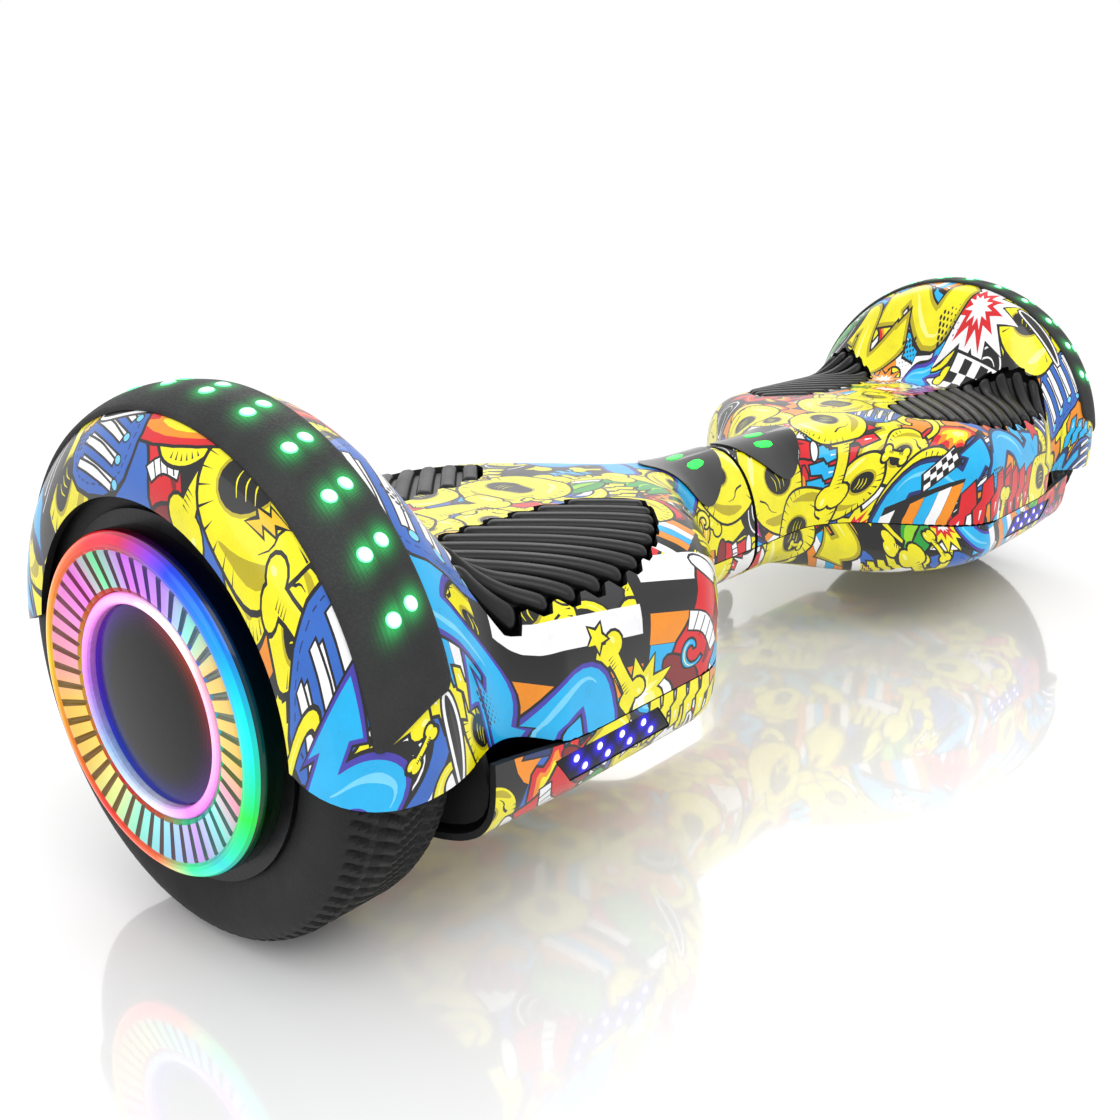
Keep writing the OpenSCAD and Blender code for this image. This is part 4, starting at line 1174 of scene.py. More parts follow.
class Finishes:
    """Makes each finish once and hands it out by its slot."""

    PLAIN = {
        Slot.FRAME: PlainFinish("cast_alloy", (0.60, 0.61, 0.63), (0.48, 0.49, 0.51), 1.0, 0.42, 0.6, 30,
                                1100, 0.0001),
        Slot.PLASTIC: PlainFinish("black_shell_plastic", (0.09, 0.09, 0.095), (0.13, 0.13, 0.135), 0.0,
                                  0.42, 0.58),
        Slot.LENS: PlainFinish("smoked_lens", (0.045, 0.045, 0.055), (0.075, 0.075, 0.085), 0.0, 0.12,
                               0.2, 30, 500,
                               0.00002, 0.5),
        Slot.BOARD: PlainFinish("solder_mask", (0.04, 0.27, 0.15), (0.06, 0.36, 0.2), 0.0, 0.3, 0.45, 300,
                                1500),
        Slot.DARK_STEEL: PlainFinish("blackened_steel", (0.13, 0.13, 0.14), (0.26, 0.26, 0.27), 1.0, 0.3,
                                     0.5, 200),
        Slot.COPPER: PlainFinish("enamelled_copper", (0.72, 0.36, 0.17), (0.55, 0.25, 0.1), 1.0, 0.25,
                                 0.4, 400),
        Slot.STEEL: PlainFinish("ground_steel", (0.74, 0.75, 0.77), (0.6, 0.61, 0.63), 1.0, 0.18, 0.32,
                                120),
        Slot.TYRE: PlainFinish("tyre_rubber", (0.04, 0.04, 0.042), (0.075, 0.075, 0.075), 0.0, 0.5, 0.68,
                               26, 1300,
                               0.00009),
        Slot.RIM: PlainFinish("machined_rim", (0.12, 0.12, 0.13), (0.19, 0.19, 0.2), 0.9, 0.3, 0.45, 60),
        Slot.PAD: PlainFinish("pad_rubber", (0.04, 0.04, 0.043), (0.075, 0.075, 0.078), 0.0, 0.3, 0.44,
                              45, 1200,
                              0.00005),
        Slot.BATTERY: PlainFinish("shrink_wrap", (0.07, 0.22, 0.62), (0.1, 0.28, 0.7), 0.0, 0.2, 0.32, 60),
        Slot.BRONZE: PlainFinish("sintered_bronze", (0.72, 0.52, 0.25), (0.6, 0.42, 0.2), 1.0, 0.35, 0.5,
                                 300),
        Slot.RED: PlainFinish("red_button", (0.72, 0.05, 0.06), (0.6, 0.04, 0.05), 0.0, 0.2, 0.3, 200,
                              900, 0.00003, 0.4),
    }
    LIT = {
        Slot.GREEN: GlowFinish("green_lamp", 2.6, 0.2, 0.5),
        Slot.VIOLET: GlowFinish("violet_lamp", 2.2, 0.2, 0.5),
        Slot.COVER: GlowFinish("lit_cover", 1.45, 0.18, 0.12, 0.3),
        Slot.RING: GlowFinish("lit_ring", 1.7, 0.2, 0.5),
        # On the hub disc this material carries painted light: the ring's glow spilled onto the disc's edge.
        Slot.DISC: GlowFinish("gloss_disc", 1.0, 0.12, 0.2, 0.08),
    }

    def __init__(self) -> None:
        """Make every finish."""
        self.made = {slot: finish.make() for slot, finish in {**self.PLAIN, **self.LIT}.items()}
        self.made[Slot.SHELL] = PrintFinish().make()
        self.made[Slot.STRIP] = LeatherFinish().make()

    def get(self, slot: Slot) -> bpy.types.Material:
        """Return the finish of a slot."""
        return self.made[slot]

    def dress_frame(self) -> int:
        """Give every carried-over node the finish of its slot, and return how many there are."""
        slots = {part["node"]: Slot(part["material_slot"]) for part in frame["record"]["subparts"]}
        for name, node in frame["nodes"].items():
            node.data.materials.clear()
            node.data.materials.append(self.made[slots[name]])
        return len(frame["nodes"])


# ---- halves
class Side(Enum):
    """The two halves of the board."""

    LEFT = "left"
    RIGHT = "right"

    @property
    def mirrored(self) -> bool:
        """Return whether pieces of this half are mirrored."""
        return self is Side.LEFT

    def node(self, name: str) -> str:
        """Return the name of this half's node or body."""
        return f"{self.value}_{name}"


@dataclass(frozen=True)
class Bench:
    """Writes the pieces of one half, each in its finish and on its body."""

    side: Side
    finishes: Finishes

    def write(self, draft: Draft, name: str, node: str, slot: Slot, body: str = "half", sharp: float = 35.0,
              looks: Sequence[Slot] = ()) -> None:
        """Write a draft as a piece that stands for a node of its half.

        Args:
            draft: Finished draft of the piece.
            name: Name of the piece, without its half.
            node: Node that it stands for, without its half.
            slot: Finish slot of the piece.
            body: Body that carries it, without its half.
            sharp: Angle in degrees above which an edge stays sharp.
            looks: Slots whose materials it wears, where they aren't its own.
        """
        materials = [self.finishes.get(look) for look in looks or (slot,)]
        piece = draft.build(self.side.node(name), materials, self.side.mirrored, sharp)
        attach(piece, self.side.node(body))
        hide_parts(self.side.node(node))
        LOG.info("%s: %d faces on %s", piece.name, len(piece.data.polygons), self.side.node(body))


def close_sheet(draft: Draft, skin: SkinMap, flat: Array, tris: Array, high: float, low: float,
                tints: Sequence[tuple[float, ...]], shaded: bool = True) -> None:
    """Add a closed slab that follows a skin.

    Args:
        draft: Draft that takes the slab.
        skin: Skin that it follows.
        flat: Flat points of the slab.
        tris: Triangles, turning left in the flat space.
        high: Height of the outer side above the skin.
        low: Height of the inner side.
        tints: Colour and glow of each outer triangle.
        shaded: Whether the slab is shaded by the skin's own normals.
    """
    place, normal = skin.place(flat)
    outer, inner = place + normal * high, place + normal * low
    if skin.face is Face.BOTTOM:
        tris = tris[:, ::-1]
    count = len(outer)
    rim = rim_of(tris)
    quads = np.stack([rim[:, 1], rim[:, 0], rim[:, 0] + count, rim[:, 1] + count], 1)
    side = np.cross(outer[rim[:, 1]] - outer[rim[:, 0]], normal[rim[:, 0]])
    side /= np.linalg.norm(side, axis=1, keepdims=True) + 1e-12
    faces = tris.tolist() + (tris[:, ::-1] + count).tolist() + quads.tolist()
    corner = [normal[tris].reshape(-1, 3), -normal[tris[:, ::-1]].reshape(-1, 3), np.repeat(side, 4, 0)]
    draft.add(np.concatenate([outer, inner]), faces, list(tints) + [tints[0]] * (len(faces) - len(tris)),
              normals=np.concatenate(corner) if shaded else None)


def rim_of(tris: Array) -> Array:
    """Return the edges that only one triangle has, in that triangle's own direction."""
    edges = np.concatenate([tris[:, [0, 1]], tris[:, [1, 2]], tris[:, [2, 0]]])
    known = {(int(a), int(b)) for a, b in edges}
    return np.array(sorted((a, b) for a, b in known if (b, a) not in known))


def flat_triangles(outline: Outline, step: float) -> tuple[Array, Array]:
    """Fill a flat outline with triangles of about a given size.

    Args:
        outline: Closed outline in the flat space.
        step: Spacing of the points inside.

    Returns:
        Flat points and triangles.
    """
    loop = outline if area_of(outline) > 0 else outline[::-1]
    points = [Vector(q) for q in loop]
    low, high = loop.min(0), loop.max(0)
    for p in np.arange(low[0] + 0.3, high[0], step):
        points.extend(Vector((p, v)) for v in np.arange(low[1] + 0.3, high[1], step))
    coords, _, tris, _, _, owners = delaunay_2d_cdt(points, [], [list(range(len(loop)))], 1, 0.004, True)
    kept = [tri for tri, owner in zip(tris, owners) if owner]
    return np.array([(c.x, c.y) for c in coords]), np.array(kept)


@dataclass
class PrintedShell:
    """One shell with its printed skin, its black inner wall and its openings."""

    form: BoardForm
    side: Side
    face: Face
    skin: SkinMap
    openings: list[Outline]
    seed: int
    wall: float = 2.3
    grid_step: float = 4.2
    lining_step: float = 6.0

    def artwork(self) -> PrintSheet:
        """Paint the flat sheet for this shell."""
        sheet = PrintSheet(Stencils(self.seed))
        sheet.ground(self.skin)
        crowd = [(Motif.BOULDER, 6), (Motif.BONE, 6), (Motif.STROKE, 5), (Motif.SWIRL, 4), (Motif.FLAME, 2),
                 (Motif.LACES, 2), (Motif.LOOPS, 2), (Motif.RIBBONS, 3), (Motif.CONE, 2), (Motif.SHARDS, 4),
                 (Motif.LEAF, 1), (Motif.SLIME, 1), (Motif.BURST, 1)]
        sheet.scatter(self.skin, 21.0, crowd, 11.0, 17.0)
        sheet.arrange(Layout.of(self.side, self.face))
        small = [(Motif.STAR, 2), (Motif.BOLT, 3), (Motif.DOTS, 2), (Motif.SWIRL, 2), (Motif.BONE, 3),
                 (Motif.CHECKER, 1)]
        sheet.scatter(self.skin, 46.0, small, 4.5, 7.5)
        sheet.arrange(Layout.last(self.side, self.face))
        return sheet

    def triangles(self, layers: Sequence[Layer]) -> tuple[Array, Array, list[Ink]]:
        """Cut the artwork into triangles inside the skin's border.

        Args:
            layers: Painted layers, the last on top.

        Returns:
            Flat points, triangles and the ink of each triangle.
        """
        border = self.skin.border()
        shapes = [border] + [outline for outline, _ in layers] + self.openings
        points: list[Vector] = []
        faces: list[list[int]] = []
        for shape in shapes:
            loop = shape if area_of(shape) > 0 else shape[::-1]
            faces.append(list(range(len(points), len(points) + len(loop))))
            points.extend(Vector(q) for q in loop)
        points.extend(Vector(q) for q in self.grid(self.grid_step))
        coords, _, tris, _, _, _ = delaunay_2d_cdt(points, [], faces, 1, 0.004, True)
        flat = np.array([(c.x, c.y) for c in coords])
        tris = np.array(tris)
        centres = flat[tris].mean(1)
        kept = self.within(border, centres)
        tris, centres = tris[kept], centres[kept]
        order = np.argsort(centres[:, 0])
        tris, centres = tris[order], centres[order]
        top = np.full(len(tris), -1)
        for index, (outline, _) in enumerate(layers):
            first, last = np.searchsorted(centres[:, 0], (outline[:, 0].min(), outline[:, 0].max()))
            spots = centres[first:last]
            near = np.flatnonzero((spots[:, 1] > outline[:, 1].min()) & (spots[:, 1] < outline[:, 1].max()))
            if len(near):
                top[first + near[winding(outline, spots[near])]] = index
        used, flat_tris = np.unique(tris, return_inverse=True)
        inks = [layers[k][1] if k >= 0 else Ink.BLACK for k in top]
        return flat[used], flat_tris.reshape(-1, 3), inks

    def grid(self, step: float) -> list[tuple[float, float]]:
        """Return a plain grid of flat points over the skin."""
        reach = float(max(self.skin.front.max(), self.skin.rear.max()))
        spots = []
        for p in np.arange(self.skin.start + 1.7, self.skin.end, step):
            near = 0.55 if p > self.form.crown_x else 1.0
            spots.extend((float(p), float(v)) for v in np.arange(-reach, reach, step * near))
        return spots

    def within(self, border: Outline, centres: Array) -> Array:
        """Tell which flat places lie on the skin and outside its openings."""
        kept = winding(border, centres)
        for hole in self.openings:
            kept &= ~winding(hole, centres)
        return kept

    def lining(self, flat: Array, rim: Array) -> tuple[Array, Array, dict[int, int]]:
        """Cut a plain inner wall that shares the skin's rim.

        Args:
            flat: Flat points of the skin.
            rim: Rim edges as pairs of point numbers.

        Returns:
            Flat points, triangles and the number of each rim point among them.
        """
        ids = sorted({int(i) for i in rim.ravel()})
        where = {old: new for new, old in enumerate(ids)}
        edges = [(where[int(i)], where[int(j)]) for i, j in rim]
        points = [Vector(flat[i]) for i in ids] + [Vector(q) for q in self.grid(self.lining_step)]
        coords, _, tris, origins, _, _ = delaunay_2d_cdt(points, edges, [], 0, 0.0005, True)
        places = np.array([(c.x, c.y) for c in coords])
        tris = np.array(tris)
        tris = tris[self.within(self.skin.border(), places[tris].mean(1))]
        found = {old: new for new, group in enumerate(origins) for old in group}
        return places, tris, {old: found[new] for old, new in where.items()}

    def build(self, bench: Bench) -> None:
        """Build the shell as one closed mesh."""
        flat, tris, inks = self.triangles(self.artwork().layers)
        outer, normal = self.skin.place(flat)
        rim = rim_of(tris)
        lining, back, partner = self.lining(flat, rim)
        inner, inward = self.skin.place(lining)
        inner = inner - inward * self.wall
        draft = Draft()
        turn = -1 if self.face is Face.BOTTOM else 1
        skin_tris, back = tris[:, ::turn], back[:, ::-turn]
        count = len(outer)
        linked = np.array([[partner[int(i)] + count, partner[int(j)] + count] for i, j in rim])
        quads = np.stack([rim[:, 1], rim[:, 0], linked[:, 0], linked[:, 1]], 1)[:, ::turn]
        edge = np.cross(outer[rim[:, 1]] - outer[rim[:, 0]], normal[rim[:, 0]]) * turn
        edge /= np.linalg.norm(edge, axis=1, keepdims=True) + 1e-12
        faces = skin_tris.tolist() + (back + count).tolist() + quads.tolist()
        rest = len(faces) - len(tris)
        corner = [normal[skin_tris].reshape(-1, 3), -inward[back].reshape(-1, 3), np.repeat(edge, 4, 0)]
        draft.add(np.concatenate([outer, inner]), faces,
                  [ink.tint for ink in inks] + [Ink.BLACK.tint] * rest,
                  [0] * len(tris) + [1] * rest, np.concatenate(corner))
        word = self.face.name.lower()
        bench.write(draft, f"printed_{word}", f"{word}_shell", Slot.SHELL, looks=(Slot.SHELL, Slot.PLASTIC))


class Layout:
    """Motifs that are listed for each skin, front edge at negative v."""

    CYAN_STROKE = (Ink.CYAN, Ink.PURPLE, Ink.SKY)
    NAVY_STROKE = (Ink.CYAN, Ink.NAVY, Ink.SKY)
    YELLOW_STROKE = (Ink.YELLOW, Ink.OCHRE, Ink.LEMON)
    RED_STROKE = (Ink.RED, Ink.MAROON, Ink.ORANGE)
    LEFT_TOP = (
        (Motif.BOULDER, 18, -18, 24, 20), (Motif.BOULDER, 22, 30, 22, 200),
        (Motif.STROKE, 52, -6, 27, 95, CYAN_STROKE), (Motif.STROKE, 78, 18, 25, 70, CYAN_STROKE),
        (Motif.BONE, 100, -6, 20, 30), (Motif.BOULDER, 132, 2, 21, 90), (Motif.BONE, 165, -2, 19, 10),
        (Motif.BOULDER, 198, 4, 20, 260), (Motif.STAR, 180, 10, 9, 0), (Motif.LOOPS, 84, -62, 24, 40),
        (Motif.CONE, 92, -96, 24, 200), (Motif.RIBBONS, 130, -112, 32, 12),
        (Motif.CONE, 136, -106, 27, 215), (Motif.SWIRL, 112, -92, 17, 60, (Ink.YELLOW,)),
        (Motif.RIBBONS, 196, -116, 30, 8), (Motif.BURST, 168, -122, 17, 0, (Ink.YELLOW, Ink.LEMON)),
        (Motif.BONE, 178, -110, 15, 60), (Motif.STROKE, 212, -118, 32, 20, CYAN_STROKE),
        (Motif.STROKE, 238, -104, 26, 250, CYAN_STROKE), (Motif.LACES, 238, -62, 24, 90),
        (Motif.FLAME, 228, -22, 22, 120), (Motif.SHARDS, 128, 106, 24, 170, (Ink.MAGENTA,)),
        (Motif.SHARDS, 176, 108, 24, 175, (Ink.RED,)), (Motif.SLIME, 212, 110, 24, 180),
        (Motif.STROKE, 96, 92, 22, 150, YELLOW_STROKE), (Motif.BOULDER, 280, -42, 25, 70),
        (Motif.BONE, 290, -70, 15, 80), (Motif.LACES, 284, -92, 21, 80),
        (Motif.SWIRL, 297, -96, 16, 200, (Ink.YELLOW,)), (Motif.STROKE, 286, -122, 27, 100, CYAN_STROKE),
        (Motif.FLAME, 276, -4, 22, 70), (Motif.LACES, 288, 24, 18, 100), (Motif.SWIRL, 280, 44, 16, 10),
        (Motif.LOOPS, 284, 68, 21, 60), (Motif.STROKE, 288, 96, 24, 90, NAVY_STROKE),
        (Motif.STROKE, 292, 124, 20, 80, NAVY_STROKE),
    )
    RIGHT_TOP = (
        (Motif.BOULDER, 20, -30, 25, 10), (Motif.BOULDER, 40, -56, 21, 160), (Motif.BONE, 64, -40, 17, 60),
        (Motif.BOULDER, 78, -16, 20, 40), (Motif.BOULDER, 110, -2, 20, 0), (Motif.BONE, 150, 4, 19, 15),
        (Motif.STROKE, 44, 20, 24, 80, CYAN_STROKE), (Motif.BOULDER, 70, 30, 19, 210),
        (Motif.STROKE, 100, -84, 27, 10, NAVY_STROKE), (Motif.STROKE, 158, -92, 30, 5, NAVY_STROKE),
        (Motif.SHARDS, 118, -112, 26, 0, (Ink.RED,)), (Motif.SHARDS, 160, -116, 24, 5, (Ink.RED,)),
        (Motif.RIBBONS, 88, -104, 17, 70), (Motif.BONE, 140, -122, 13, 80),
        (Motif.BOULDER, 192, -116, 18, 100), (Motif.FLAME, 212, -112, 19, 60),
        (Motif.STROKE, 222, -92, 22, 20, YELLOW_STROKE), (Motif.LACES, 240, -92, 20, 80),
        (Motif.BOULDER, 246, -58, 22, 100), (Motif.BURST, 238, -24, 26, 10, (Ink.WHITE, Ink.RED)),
        (Motif.CHECKER, 212, -34, 16, 80), (Motif.STROKE, 236, 12, 26, 100, YELLOW_STROKE),
        (Motif.STROKE, 226, 44, 23, 70, YELLOW_STROKE), (Motif.LOOPS, 242, 70, 19, 0),
        (Motif.SLIME, 246, 78, 25, 100), (Motif.SLIME, 238, 112, 24, 95),
        (Motif.BURST, 204, 18, 12, 0, (Ink.ORANGE, Ink.WHITE)),
        (Motif.STROKE, 116, 100, 24, 190, CYAN_STROKE), (Motif.BOULDER, 90, 84, 20, 90),
        (Motif.SHARDS, 170, 110, 24, 180, (Ink.YELLOW,)), (Motif.FLAME, 208, 108, 20, 200),
        (Motif.BOULDER, 286, -34, 22, 80), (Motif.STROKE, 288, -80, 24, 90, RED_STROKE),
        (Motif.LACES, 286, 8, 20, 90), (Motif.BOULDER, 286, 48, 22, 200),
        (Motif.STROKE, 288, 96, 24, 100, CYAN_STROKE),
    )
    LEFT_BOTTOM = (
        (Motif.STROKE, 176, -96, 16, 150, YELLOW_STROKE), (Motif.SHARDS, 112, -88, 20, 175, (Ink.YELLOW,)),
        (Motif.SHARDS, 148, -100, 18, 178, (Ink.YELLOW,)), (Motif.CONE, 212, -92, 20, 120),
        (Motif.BOULDER, 40, -34, 22, 20), (Motif.BOULDER, 78, -60, 18, 60),
    )
    RIGHT_BOTTOM = (
        (Motif.BOULDER, 30, -36, 22, 20), (Motif.STROKE, 62, -52, 22, 100, YELLOW_STROKE),
        (Motif.SHARDS, 60, -70, 16, 175, (Ink.YELLOW,)), (Motif.LEAF, 92, -78, 14, 100),
        (Motif.SWIRL, 84, -84, 16, 60, (Ink.YELLOW,)), (Motif.STROKE, 122, -96, 22, 60, CYAN_STROKE),
        (Motif.RIBBONS, 146, -98, 15, 60), (Motif.BONE, 104, -62, 16, 20),
    )
    BOTTOM_BLADES = (
        (Motif.SPEAR, 134, -82, 14, 110),
    )
    LEFT_BLADES = (
        (Motif.SPEAR, 252, -137, 17, 80), (Motif.SPEAR, 285, -143, 15, 20), (Motif.SPEAR, 276, 14, 22, 80),
    )
    RIGHT_BLADES = (
        (Motif.SPEAR, 246, -66, 22, 84), (Motif.SPEAR, 60, 62, 12, 20),
    )

    @classmethod
    def of(cls, side: Side, face: Face) -> list[Placed]:
        """Return the large motifs of one skin."""
        return [Placed(*row) for row in getattr(cls, f"{side.name}_{face.name}")]

    @classmethod
    def last(cls, side: Side, face: Face) -> list[Placed]:
        """Return the long blades that lie over everything else."""
        rows = cls.BOTTOM_BLADES if face is Face.BOTTOM else getattr(cls, f"{side.name}_BLADES")
        return [Placed(*row) for row in rows]


@dataclass
class PadPlan:
    """Plan of a foot pad in the half's own s and y, with y positive."""

    form: BoardForm
    bar_y: float = 21.0
    rim_inset: float = 8.0
    pitch: float = 8.6

    ALONG = np.array([0.7071, -0.7071])
    ACROSS = np.array([0.7071, 0.7071])

    def outline(self) -> Outline:
        """Return the pad's outline, counter-clockwise or not."""
        end, rim = self.form.deck_end, self.form.deck_half_w - self.rim_inset
        return rounded([(end + 3, self.bar_y), (end + 15, rim - 40), (end + 25, rim - 20),
                        (end + 27, rim - 3),
                        (end - 21, rim), (150, rim - 2), (126, rim - 15), (108, rim - 34),
                        (112, max(rim - 47, self.bar_y + 8)), (136, self.bar_y)], 2)

    def bars(self) -> list[tuple[float, float, float]]:
        """Return each bar's place across the ribbing and where it starts and ends along it."""
        loop = self.outline()
        across = loop @ self.ACROSS
        along = loop @ self.ALONG
        count = int((across.max() - across.min() - 3.0) / self.pitch)
        first = (across.max() + across.min() - (count - 1) * self.pitch) / 2
        found = []
        for k in range(count):
            w = first + k * self.pitch
            cuts = []
            for i in range(len(loop)):
                a, b = across[i - 1] - w, across[i] - w
                if (a < 0) != (b < 0):
                    cuts.append(mix(along[i - 1], along[i], a / (a - b)))
            if len(cuts) >= 2 and max(cuts) - min(cuts) > 14.0:
                found.append((w, min(cuts) + 1.5, max(cuts) - 1.5))
        return found

    def stepped(self) -> Outline:
        """Return the outline that follows the ends of the bars, as s and y."""
        half = self.pitch / 2
        upper, lower = [], []
        for w, start, end in self.bars():
            upper += [(w - half, end), (w + half, end)]
            lower += [(w - half, start), (w + half, start)]
        corners = np.array(upper + lower[::-1])
        return rounded(corners[:, :1] * self.ACROSS + corners[:, 1:] * self.ALONG, 1)


@dataclass
class FootPad:
    """Ribbed rubber foot pad, one of a half's two."""

    plan: PadPlan
    skin: SkinMap
    front: bool
    bar_half_w: float = 3.2
    bar_top: float = 0.9
    base_top: float = -2.3
    base_bottom: float = -6.0
    ring_points: int = 14
    length_points: int = 30

    @property
    def facing(self) -> float:
        """Return -1 for the front pad and 1 for the rear one."""
        return -1.0 if self.front else 1.0

    def laid(self, plan: Array, height: Array | float) -> Array:
        """Return points above the deck, for places given as s and y in the plan."""
        point, normal = self.skin.place(self.skin.from_plan(plan * (1.0, self.facing)))
        return point + normal * np.reshape(height, (-1, 1))

    def bar(self, w: float, start: float, end: float) -> Array:
        """Return one bar as a closed grid of rings."""
        u = start + (end - start) * ease(0, 1, np.linspace(0, 1, self.length_points))
        near = np.minimum(u - start, end - u)
        share = np.sqrt(np.clip(1 - (1 - np.clip(near / self.bar_half_w, 0, 1)) ** 2, 0, 1))
        angle = np.linspace(0, 2 * math.pi, self.ring_points, endpoint=False)
        width = self.bar_half_w * signed_power(np.cos(angle), 0.75)
        rise = np.where(np.sin(angle) > 0, signed_power(np.sin(angle),
                                                        0.8) * (self.bar_top - self.base_top), -1.2 * (
            np.sin(angle) < 0))
        across = w + width[None, :] * share[:, None]
        plan = across[..., None] * self.plan.ACROSS + u[:, None, None] * self.plan.ALONG
        height = self.base_top + rise[None, :] * np.maximum(share[:, None], 0.05)
        return self.laid(plan.reshape(-1, 2), height.ravel()).reshape(len(u), len(angle), 3)

    def build(self, bench: Bench) -> None:
        """Build the pad with its base plate and bars."""
        draft = Draft()
        name = "front_pad" if self.front else "rear_pad"
        flat = self.skin.from_plan(grown(self.plan.stepped(), -1.7) * (1.0, self.facing))
        points, tris = flat_triangles(flat, 5.0)
        plain = [Ink.BLACK.tint] * len(tris)
        close_sheet(draft, self.skin, points, tris, self.base_top, self.base_bottom, plain, shaded=False)
        for w, start, end in self.plan.bars():
            draft.add_grid(self.bar(w, start, end), flip=True)
        bench.write(draft, f"{name}_ribbed", name, Slot.PAD, name, 50.0)


@dataclass
class FenderStrip:
    """Grained black strip over a fender with its pairs of green lamps."""

    form: BoardForm
    skin: SkinMap
    thickness: float = 1.35
    start_x: float = 252.0
    end_p: float = 279.5
    from_angle: float = 10.0
    to_angle: float = 172.0
    corner: float = 5.0
    edge: float = 1.4
    pairs: int = 12
    pair_step: float = 11.6
    lamp_gap: float = 6.8
    lamp_r: float = 2.3
    halo: float = 1.9
    rows: int = 300
    columns: int = 34

    def v_of(self, angle: Array) -> Array:
        """Return the flat place across the skin for an angle about the axle, measured up from the front."""
        turns = self.skin.turns
        arch = self.form.top(np.full_like(turns, self.form.crown_x), turns)
        about = np.degrees(np.arctan2(arch[:, 2] - self.form.axle_z, -arch[:, 1]))
        t = np.interp(angle, np.unwrap(about, period=360), turns)
        row = int(np.argmin(np.abs(self.skin.rows - self.form.crown_x)))
        return np.interp(t, turns, self.skin.arc[row])

    def lamps(self) -> Array:
        """Return the lamps' flat places."""
        first = 91.0 - self.pair_step * (self.pairs - 1) / 2
        spots = []
        for k in range(self.pairs):
            v = float(self.v_of(np.array([first + k * self.pair_step]))[0])
            spots += [(self.form.crown_x + 0.8 + side * self.lamp_gap / 2, v) for side in (-1, 1)]
        return np.array(spots)

    def surface(self, share_v: Array, share_p: Array) -> tuple[Array, Array]:
        """Return flat places and heights for shares along and across the strip."""
        low, high = self.v_of(np.array([self.from_angle, self.to_angle]))
        v = mix(low, high, share_v)
        end = np.minimum(v - low, high - v)
        inset = self.corner - np.sqrt(np.clip(self.corner ** 2 - np.clip(self.corner - end, 0, None) ** 2,
                                              0, None))
        middle, half = (self.start_x + self.end_p) / 2, (self.end_p - self.start_x) / 2 - inset
        p = middle + half * share_p
        near = np.minimum(np.clip(half * (1 - np.abs(share_p)), 0, self.edge), np.clip(end, 0, self.edge))
        height = self.thickness * np.sqrt(np.clip(1 - (1 - near / self.edge) ** 2, 0, 1)) + 0.12
        return np.stack(np.broadcast_arrays(p, v), -1), height

    def build(self, bench: Bench) -> None:
        """Build the strip and its lamps."""
        along = ease(0, 1, np.linspace(0, 1, self.rows)) * 0.25 + np.linspace(0, 1, self.rows) * 0.75
        across = np.sin(np.linspace(-math.pi / 2, math.pi / 2, self.columns))
        flat, height = self.surface(along[:, None], across[None, :])
        point, normal = self.skin.place(flat.reshape(-1, 2))
        top = (point + normal * height.reshape(-1, 1)).reshape(*flat.shape[:2], 3)
        under = (point + normal * 0.05).reshape(*flat.shape[:2], 3)[:, ::-1]
        lamps = self.lamps()
        middle = (flat[:-1, :-1] + flat[1:, 1:]) / 2
        gap = np.linalg.norm(middle[:, :, None, :] - lamps[None, None], axis=-1).min(-1)
        glow = 0.5 * np.exp(-((np.maximum(gap - self.lamp_r, 0) / self.halo) ** 1.2))
        tints = np.zeros((self.rows - 1, 2 * self.columns, 4))
        tints[..., :3] = linear((0.10, 0.95, 0.45))
        tints[:, :self.columns - 1, 3] = glow
        draft = Draft()
        draft.add_grid(np.concatenate([top, under], 1), tints=tints, flip=True)
        bench.write(draft, "grained_strip", "fender_strip", Slot.STRIP, sharp=60.0)
        beads = Draft()
        add_lamps(beads, self.skin, lamps, self.lamp_r, self.thickness, (0.72, 1.0, 0.86),
                  (0.08, 0.98, 0.45))
        bench.write(beads, "green_lamps", "fender_lights", Slot.GREEN, sharp=60.0)


def add_lamps(draft: Draft, skin: SkinMap, spots: Array, radius: float, lift: float, core: Sequence[float],
              edge: Sequence[float]) -> None:
    """Add small domed lamps to a draft.

    Args:
        draft: Draft that takes them.
        skin: Skin that they sit on.
        spots: Their flat places.
        radius: Their radius.
        lift: Height of their foot above the skin.
        core: Colour in the middle.
        edge: Colour at the rim.
    """
    point, normal = skin.place(spots)
    rings = [(1.0, -0.7), (1.0, 0.05), (0.86, 0.4), (0.62, 0.62), (0.32, 0.74), (0.001, 0.78)]
    angle = np.linspace(0, 2 * math.pi, 18, endpoint=False)
    for spot, up in zip(point, normal):
        first = np.cross((0.0, 1.0, 0.0), up)
        first /= np.linalg.norm(first)
        second = np.cross(up, first)
        grid = np.stack([spot + up * (lift + rise) + radius * share * (
            np.cos(angle)[:, None] * first + np.sin(angle)[:, None] * second) for share, rise in rings])
        shares = np.array([1.0, 0.75, 0.35, 0.1, 0.0])
        tints = np.ones((5, 18, 4))
        tints[..., :3] = mix(np.array(linear(core)), np.array(linear(edge)), shares[:, None, None])
        draft.add_grid(grid, tints=tints)


# ---- wheels
@dataclass(frozen=True)
class ColourWheel:
    """Colours round a circle, given clockwise from the top in degrees."""

    stops: tuple[tuple[float, tuple[float, float, float]], ...]

    def at(self, angle: Array) -> Array:
        """Return the scene-linear colour at each angle in degrees."""
        marks = [a for a, _ in self.stops] + [self.stops[0][0] + 360.0]
        tones = [linear(c) for _, c in self.stops] + [linear(self.stops[0][1])]
        wrapped = np.mod(angle - marks[0], 360.0) + marks[0]
        return np.stack([np.interp(wrapped, marks, [tone[k] for tone in tones]) for k in range(3)], -1)


